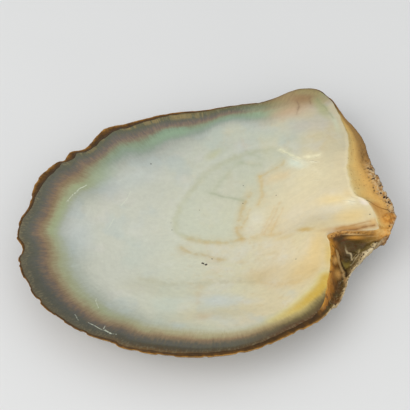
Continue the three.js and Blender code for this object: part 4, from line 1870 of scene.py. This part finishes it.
        # Amber along the outermost edge, strongest at the front: partly the horn's colour, partly a painted
        # highlight on the rim
        amber_and_lit_rim = beyond.near(1, 0.3) * (y.rise(-10, -50) * 0.6 + patchy.rise(0.4, 0.56) * 0.4)
        colour = paint.mix(beyond.rise(0.95, 1.15), paint.ramp(across, stops), wall)
        return paint.mix(amber_and_lit_rim * 0.85, colour, "c89a50")

    def plate(self, paint: Paint, beyond: Wire, clouds: Wire, fine: Wire) -> Socket:
        """Golden hinge plate with a cream bead along the nacre and a chalky, pitted outer edge.

        Args:
            paint: the material.
            beyond: 0 at the nacre's edge, 1 at the outermost edge, 2 at the wall's foot.
            clouds: soft noise.
            fine: fine noise.

        Returns:
            The colour.
        """
        spot, y = paint.spot, paint.y
        along = beyond + (clouds - 0.5) * 0.3 * beyond.rise(0, 0.3)
        colour = paint.ramp(along, self.plate_colours)
        colour = paint.mix(y.rise(26, 48) * 0.3, colour, "b09a5c")
        # Darker over the outer part of the plate at its upper end
        darker_upper_flank = y.rise(18, 36) * beyond.rise(0.35, 0.75)
        colour = paint.mix(darker_upper_flank * 0.7, colour, "765830")
        blotches = paint.noise(spot, 0.6, 3).rise(0.56, 0.7)
        colour = paint.mix(blotches * 0.3, colour, "b4823e")
        chalk = beyond.rise(0.66, 0.88) * fine.rise(0.4, 0.56) * y.rise(33, 24)
        colour = paint.mix(chalk * 0.7, colour, "d3bd94")
        ragged = paint.vector("ADD", spot, paint.join(fine * 1.6, clouds * 1.2, 0.0))
        pits = paint.pits(ragged, 0.62).rise(0.44, 0.26) * paint.noise(spot, 0.4, 2).rise(0.44, 0.54)
        colour = paint.mix(pits * beyond.rise(0.6, 0.8) * y.rise(34, 24), colour, "2e1a0a")
        flecks = paint.pits(ragged, 0.5).rise(0.2, 0.1) * 0.5
        colour = paint.mix(flecks, colour, "7a5020")
        flat = paint.flat
        crease = paint.stroke(flat, (67.5, 6.9), (76.5, 1.4)).rise(0.6, 0.1)
        colour = paint.mix(crease * 0.8, colour, "5a3614")
        flank = paint.stroke(flat, (71, 4.5), (74.4, -4)).rise(4, 1)
        colour = paint.mix(flank * 0.65, colour, "cc8a38")
        under = paint.ramp(clouds * 0.8 + fine * 0.2, ((0.36, "8c5a20"), (0.5, "c48a38"), (0.62, "d9ad66")))
        colour = paint.mix(y.rise(-6, -8.6) * 0.85, colour, under)
        grain = clouds * 0.5 + fine * 0.5
        wall = paint.ramp(grain, ((0.36, "5a3a18"), (0.47, "8a5c2a"), (0.56, "b08448"), (0.68, "cdb284")))
        return paint.mix(beyond.rise(1.02, 1.2), colour, wall)

    def hollow(self, paint: Paint, beyond: Wire, clouds: Wire, fine: Wire) -> Socket:
        """Golden lumpy wall, dark greenish floor with pale strands, and pale pitted lip of the hollow; the
        floor's dark is partly painted shade.

        Args:
            paint: the material.
            beyond: 0 at the nacre's edge, 1 at the outermost edge, 2 at the wall's foot.
            clouds: soft noise.
            fine: fine noise.

        Returns:
            The colour.
        """
        spot = paint.spot
        across = beyond + (clouds - 0.5) * 0.24 + (fine - 0.5) * 0.2
        colour = paint.ramp(across, self.hollow_colours)
        flat = paint.wavering()
        blobs = paint.pits(paint.vector("ADD", spot, paint.join(fine * 2, clouds * 2, 0.0)), 0.36)
        outlines = blobs.rise(0.6, 0.78) * beyond.rise(0.5, 0.4)
        colour = paint.mix(outlines * 0.65, colour, "5c3a14")
        colour = paint.mix(blobs.rise(0.3, 0.05) * beyond.rise(0.5, 0.3) * 0.5, colour, "e0b070")
        olive = fine.rise(0.5, 0.64) * beyond.rise(0.36, 0.5) * beyond.rise(0.86, 0.76)
        colour = paint.mix(olive * 0.55, colour, "8a7840")
        veins = paint.noise(spot, 0.3, 2, 0.5).near(0.5, 0.016) * beyond.rise(0.25, 0.45)
        colour = paint.mix(veins * 0.7, colour, "d2bd8c")
        colour = lay_marks(paint, colour, self.hollow_stains_and_shade, flat)
        slanted = paint.join(paint.x, (paint.y + paint.z) * 0.7, 0.0)
        colour = lay_marks(paint, colour, self.hollow_lumps, slanted)
        colour = lay_marks(paint, colour, self.hollow_strands, flat)
        colour = self.notch(paint, fine, colour)
        pits = paint.pits(spot, 0.7).rise(0.4, 0.26) * beyond.rise(0.76, 0.86)
        colour = paint.mix(pits * 0.9, colour, "3d2a14")
        grain = clouds * 0.5 + fine * 0.5
        wall = paint.ramp(grain, ((0.34, "6a5028"), (0.44, "a58a5c"), (0.54, "cbb488"), (0.68, "e0d0ac")))
        return paint.mix(beyond.rise(1.05, 1.3), colour, wall)

    def notch(self, paint: Paint, fine: Wire, colour: Socket) -> Socket:
        """The steep wall below the hinge's end: tan under the nacre, an orange lobe, then dark shell lower
        down, partly painted shade.

        Args:
            paint: the material.
            fine: fine noise.
            colour: the hollow's colour elsewhere.

        Returns:
            The colour.
        """
        x, y, z = paint.x, paint.y, paint.z
        # Darker lower down the wall: partly the shell's own colour, partly painted shade under the hinge's
        # end
        height = (z - 10) / 7.5 + (fine - 0.5) * 0.5
        stops = (
            (0.3, "56441f"), (0.55, "4a3718"), (0.72, "553a18"),
            (0.8, "8e622a"), (0.87, "c8944c"), (1.0, "d0a468"),
        )
        wall = paint.ramp(height, stops)
        creases = paint.noise(paint.join(x * 0.3, z * 1.1, 0.0), 0.6, 2).near(0.5, 0.03)
        wall = paint.mix(creases * 0.8, wall, "5a3610")
        wall = lay_marks(paint, wall, self.notch_stains, paint.join(x, z, 0.0))
        return paint.mix(y.rise(-14.6, -12.6) * x.rise(74, 71), colour, wall)


@dataclass(frozen=True)
class OutsideFinish:
    """Dull outer shell in grey and brown scales with paler rays and worn, bored old shell near the beak."""

    body_colours: Stops = ((0.3, "4a4434"), (0.45, "6a6048"), (0.58, "7d7156"), (0.72, "958a70"))
    worn_colours: Stops = ((0.3, "a39a88"), (0.5, "c2bba8"), (0.7, "d8d2c2"))

    def material(self, shift: np.ndarray) -> bpy.types.Material:
        """Builds the material.

        Args:
            shift: the plan point that lies over the origin.

        Returns:
            The material.
        """
        paint = Paint("outside", shift)
        spot = paint.spot
        growth, rise, tint = paint.note("growth"), paint.note("rise"), paint.note("tint")
        fan = paint.along_rim(BEAK, growth * 6)
        rays = paint.noise(fan, 0.075, 3)
        fine = paint.noise(spot, 0.9, 4, 0.6)
        patches = paint.noise(spot, 0.06, 3)
        colour = paint.ramp(patches * 0.7 + fine * 0.3, self.body_colours)
        colour = paint.mix(rays.rise(0.52, 0.66) * 0.55, colour, "b3a88c")
        bands = paint.noise(paint.join(tint * 24, 0.0, 0.0), 0.5, 2)
        colour = paint.mix(bands.rise(0.45, 0.65) * 0.4, colour, "5a3f22")
        colour = paint.mix(rise.rise(0.6, 1.0) * (0.25 + fine * 0.5), colour, "b7a37c")
        colour = paint.mix(growth.rise(0.86, 0.99) * 0.7, colour, "6b4a26")
        worn = growth.rise(0.42, 0.1) * (0.5 + patches)
        colour = paint.mix(worn.least(1), colour, paint.ramp(fine, self.worn_colours))
        colour = paint.mix(paint.z.rise(1.6, 0.1) * 0.6, colour, "b5aa92")
        holes = paint.pits(spot, 0.22).rise(0.2, 0.1) * paint.noise(spot, 0.08, 2).rise(0.46, 0.6)
        colour = paint.mix(holes, colour, "3c3020")
        lines = paint.noise(paint.along_rim(BEAK, growth * 260), 0.25, 3)
        normal = paint.bump(lines, 0.3, 0.7)
        normal = paint.bump(fine, 0.3, 0.6, normal)
        normal = paint.bump(1 - holes, 0.8, 0.8, normal)
        return paint.finish(Base_Color=colour, Roughness=0.72 + (fine - 0.5) * 0.3, Normal=normal)


@dataclass(frozen=True)
class TableFinish:
    """Plain pale table top, very faintly mottled, with a little light of its own."""

    colour: str = "dadad9"
    mottle: str = "dededd"
    glow: float = 0.13

    def material(self) -> bpy.types.Material:
        """Builds the material."""
        paint = Paint("table", np.zeros(2))
        mottled = paint.noise(paint.spot, 0.01, 2)
        return paint.finish(
            Base_Color=paint.mix(mottled, self.mottle, self.colour),
            Roughness=0.8,
            Emission_Color=self.colour,
            Emission_Strength=self.glow,
        )


@dataclass(frozen=True)
class Lamp:
    """A square soft light that faces the shell: its place and side in metres, its power and its colour."""

    name: str
    at: tuple[float, float, float]
    side: float
    watts: float
    colour: str

    def hang(self) -> None:
        """Adds it to the scene."""
        data = bpy.data.lights.new(self.name, "AREA")
        data.size = self.side
        data.energy = self.watts
        data.color = linear(self.colour)[:3]
        lamp = bpy.data.objects.new(self.name, data)
        lamp.location = self.at
        lamp.rotation_euler = Vector(self.at).to_track_quat("Z", "Y").to_euler()
        bpy.context.collection.objects.link(lamp)


@dataclass
class Studio:
    """The pale table, the soft lights and the camera at the photograph's angle."""

    # The camera's angle above the table, its distance in metres and what it looks at in millimetres
    tilt: float = 45.0
    distance: float = 0.8
    aim: tuple[float, float, float] = (0.0, 10.0, 12.0)
    # What one pixel of the photograph shows of the shell, and the photograph's side
    mm_per_pixel: float = 0.42
    frame_pixels: int = 410
    sensor: float = 36.0
    # Side of the table top in metres
    floor_size: float = 6.0
    air_colour: str = "f6f8fa"
    air_strength: float = 0.66
    lamps: tuple[Lamp, ...] = (
        Lamp("window", (-1.0, -0.7, 0.8), 1.4, 10.8, "ffffff"),
        Lamp("front_fill", (0.3, -1.3, 0.6), 1.4, 6.2, "fffdf8"),
    )

    def set_camera(self, shift: np.ndarray) -> None:
        """Adds the camera.

        Args:
            shift: the plan point that lies over the origin.
        """
        data = bpy.data.cameras.new("camera")
        data.sensor_width = self.sensor
        pixels_to_aim = self.distance / (self.mm_per_pixel * MM)
        data.lens = self.sensor * pixels_to_aim / self.frame_pixels
        camera = bpy.data.objects.new("camera", data)
        bpy.context.collection.objects.link(camera)
        aim = (Vector(self.aim) - Vector((*map(float, shift), 0.0))) * MM
        turn = math.radians(self.tilt)
        camera.location = aim + self.distance * Vector((0, -math.cos(turn), math.sin(turn)))
        camera.rotation_euler = (math.radians(90 - self.tilt), 0, 0)
        bpy.context.scene.camera = camera

    def set_table(self) -> None:
        """Adds the table top under the shell."""
        half = self.floor_size / 2
        mesh = bpy.data.meshes.new("table")
        corners = [(-half, -half, 0), (half, -half, 0), (half, half, 0), (-half, half, 0)]
        mesh.from_pydata(corners, [], [(0, 1, 2, 3)])
        mesh.materials.append(TableFinish().material())
        table = bpy.data.objects.new("table", mesh)
        bpy.context.collection.objects.link(table)

    def set_air(self) -> None:
        """Fills the room with even pale light."""
        world = bpy.data.worlds.new("room")
        world.use_nodes = True
        background = world.node_tree.nodes["Background"]
        background.inputs["Color"].default_value = linear(self.air_colour)
        background.inputs["Strength"].default_value = self.air_strength
        bpy.context.scene.world = world

    def set_up(self, shift: np.ndarray) -> None:
        """Builds all of it."""
        self.set_camera(shift)
        self.set_table()
        self.set_air()
        for lamp in self.lamps:
            lamp.hang()
        bpy.context.scene.view_settings.view_transform = "Standard"


def main() -> None:
    """Builds the valve and the studio, and reports each piece."""
    logging.basicConfig(level=logging.INFO, format="%(name)s: %(message)s")
    valve = Valve()
    shift = valve.middle()
    piece = valve.build()
    for finish in (NacreFinish(), RindFinish(), OutsideFinish()):
        piece.data.materials.append(finish.material(shift))
    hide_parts("shell")
    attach(piece, "root")
    LOG.info("%s: %d points, %d faces", piece.name, len(piece.data.vertices), len(piece.data.polygons))
    Studio().set_up(shift)
    LOG.info("studio: table, lights and camera")


if __name__ == "__main__":
    main()
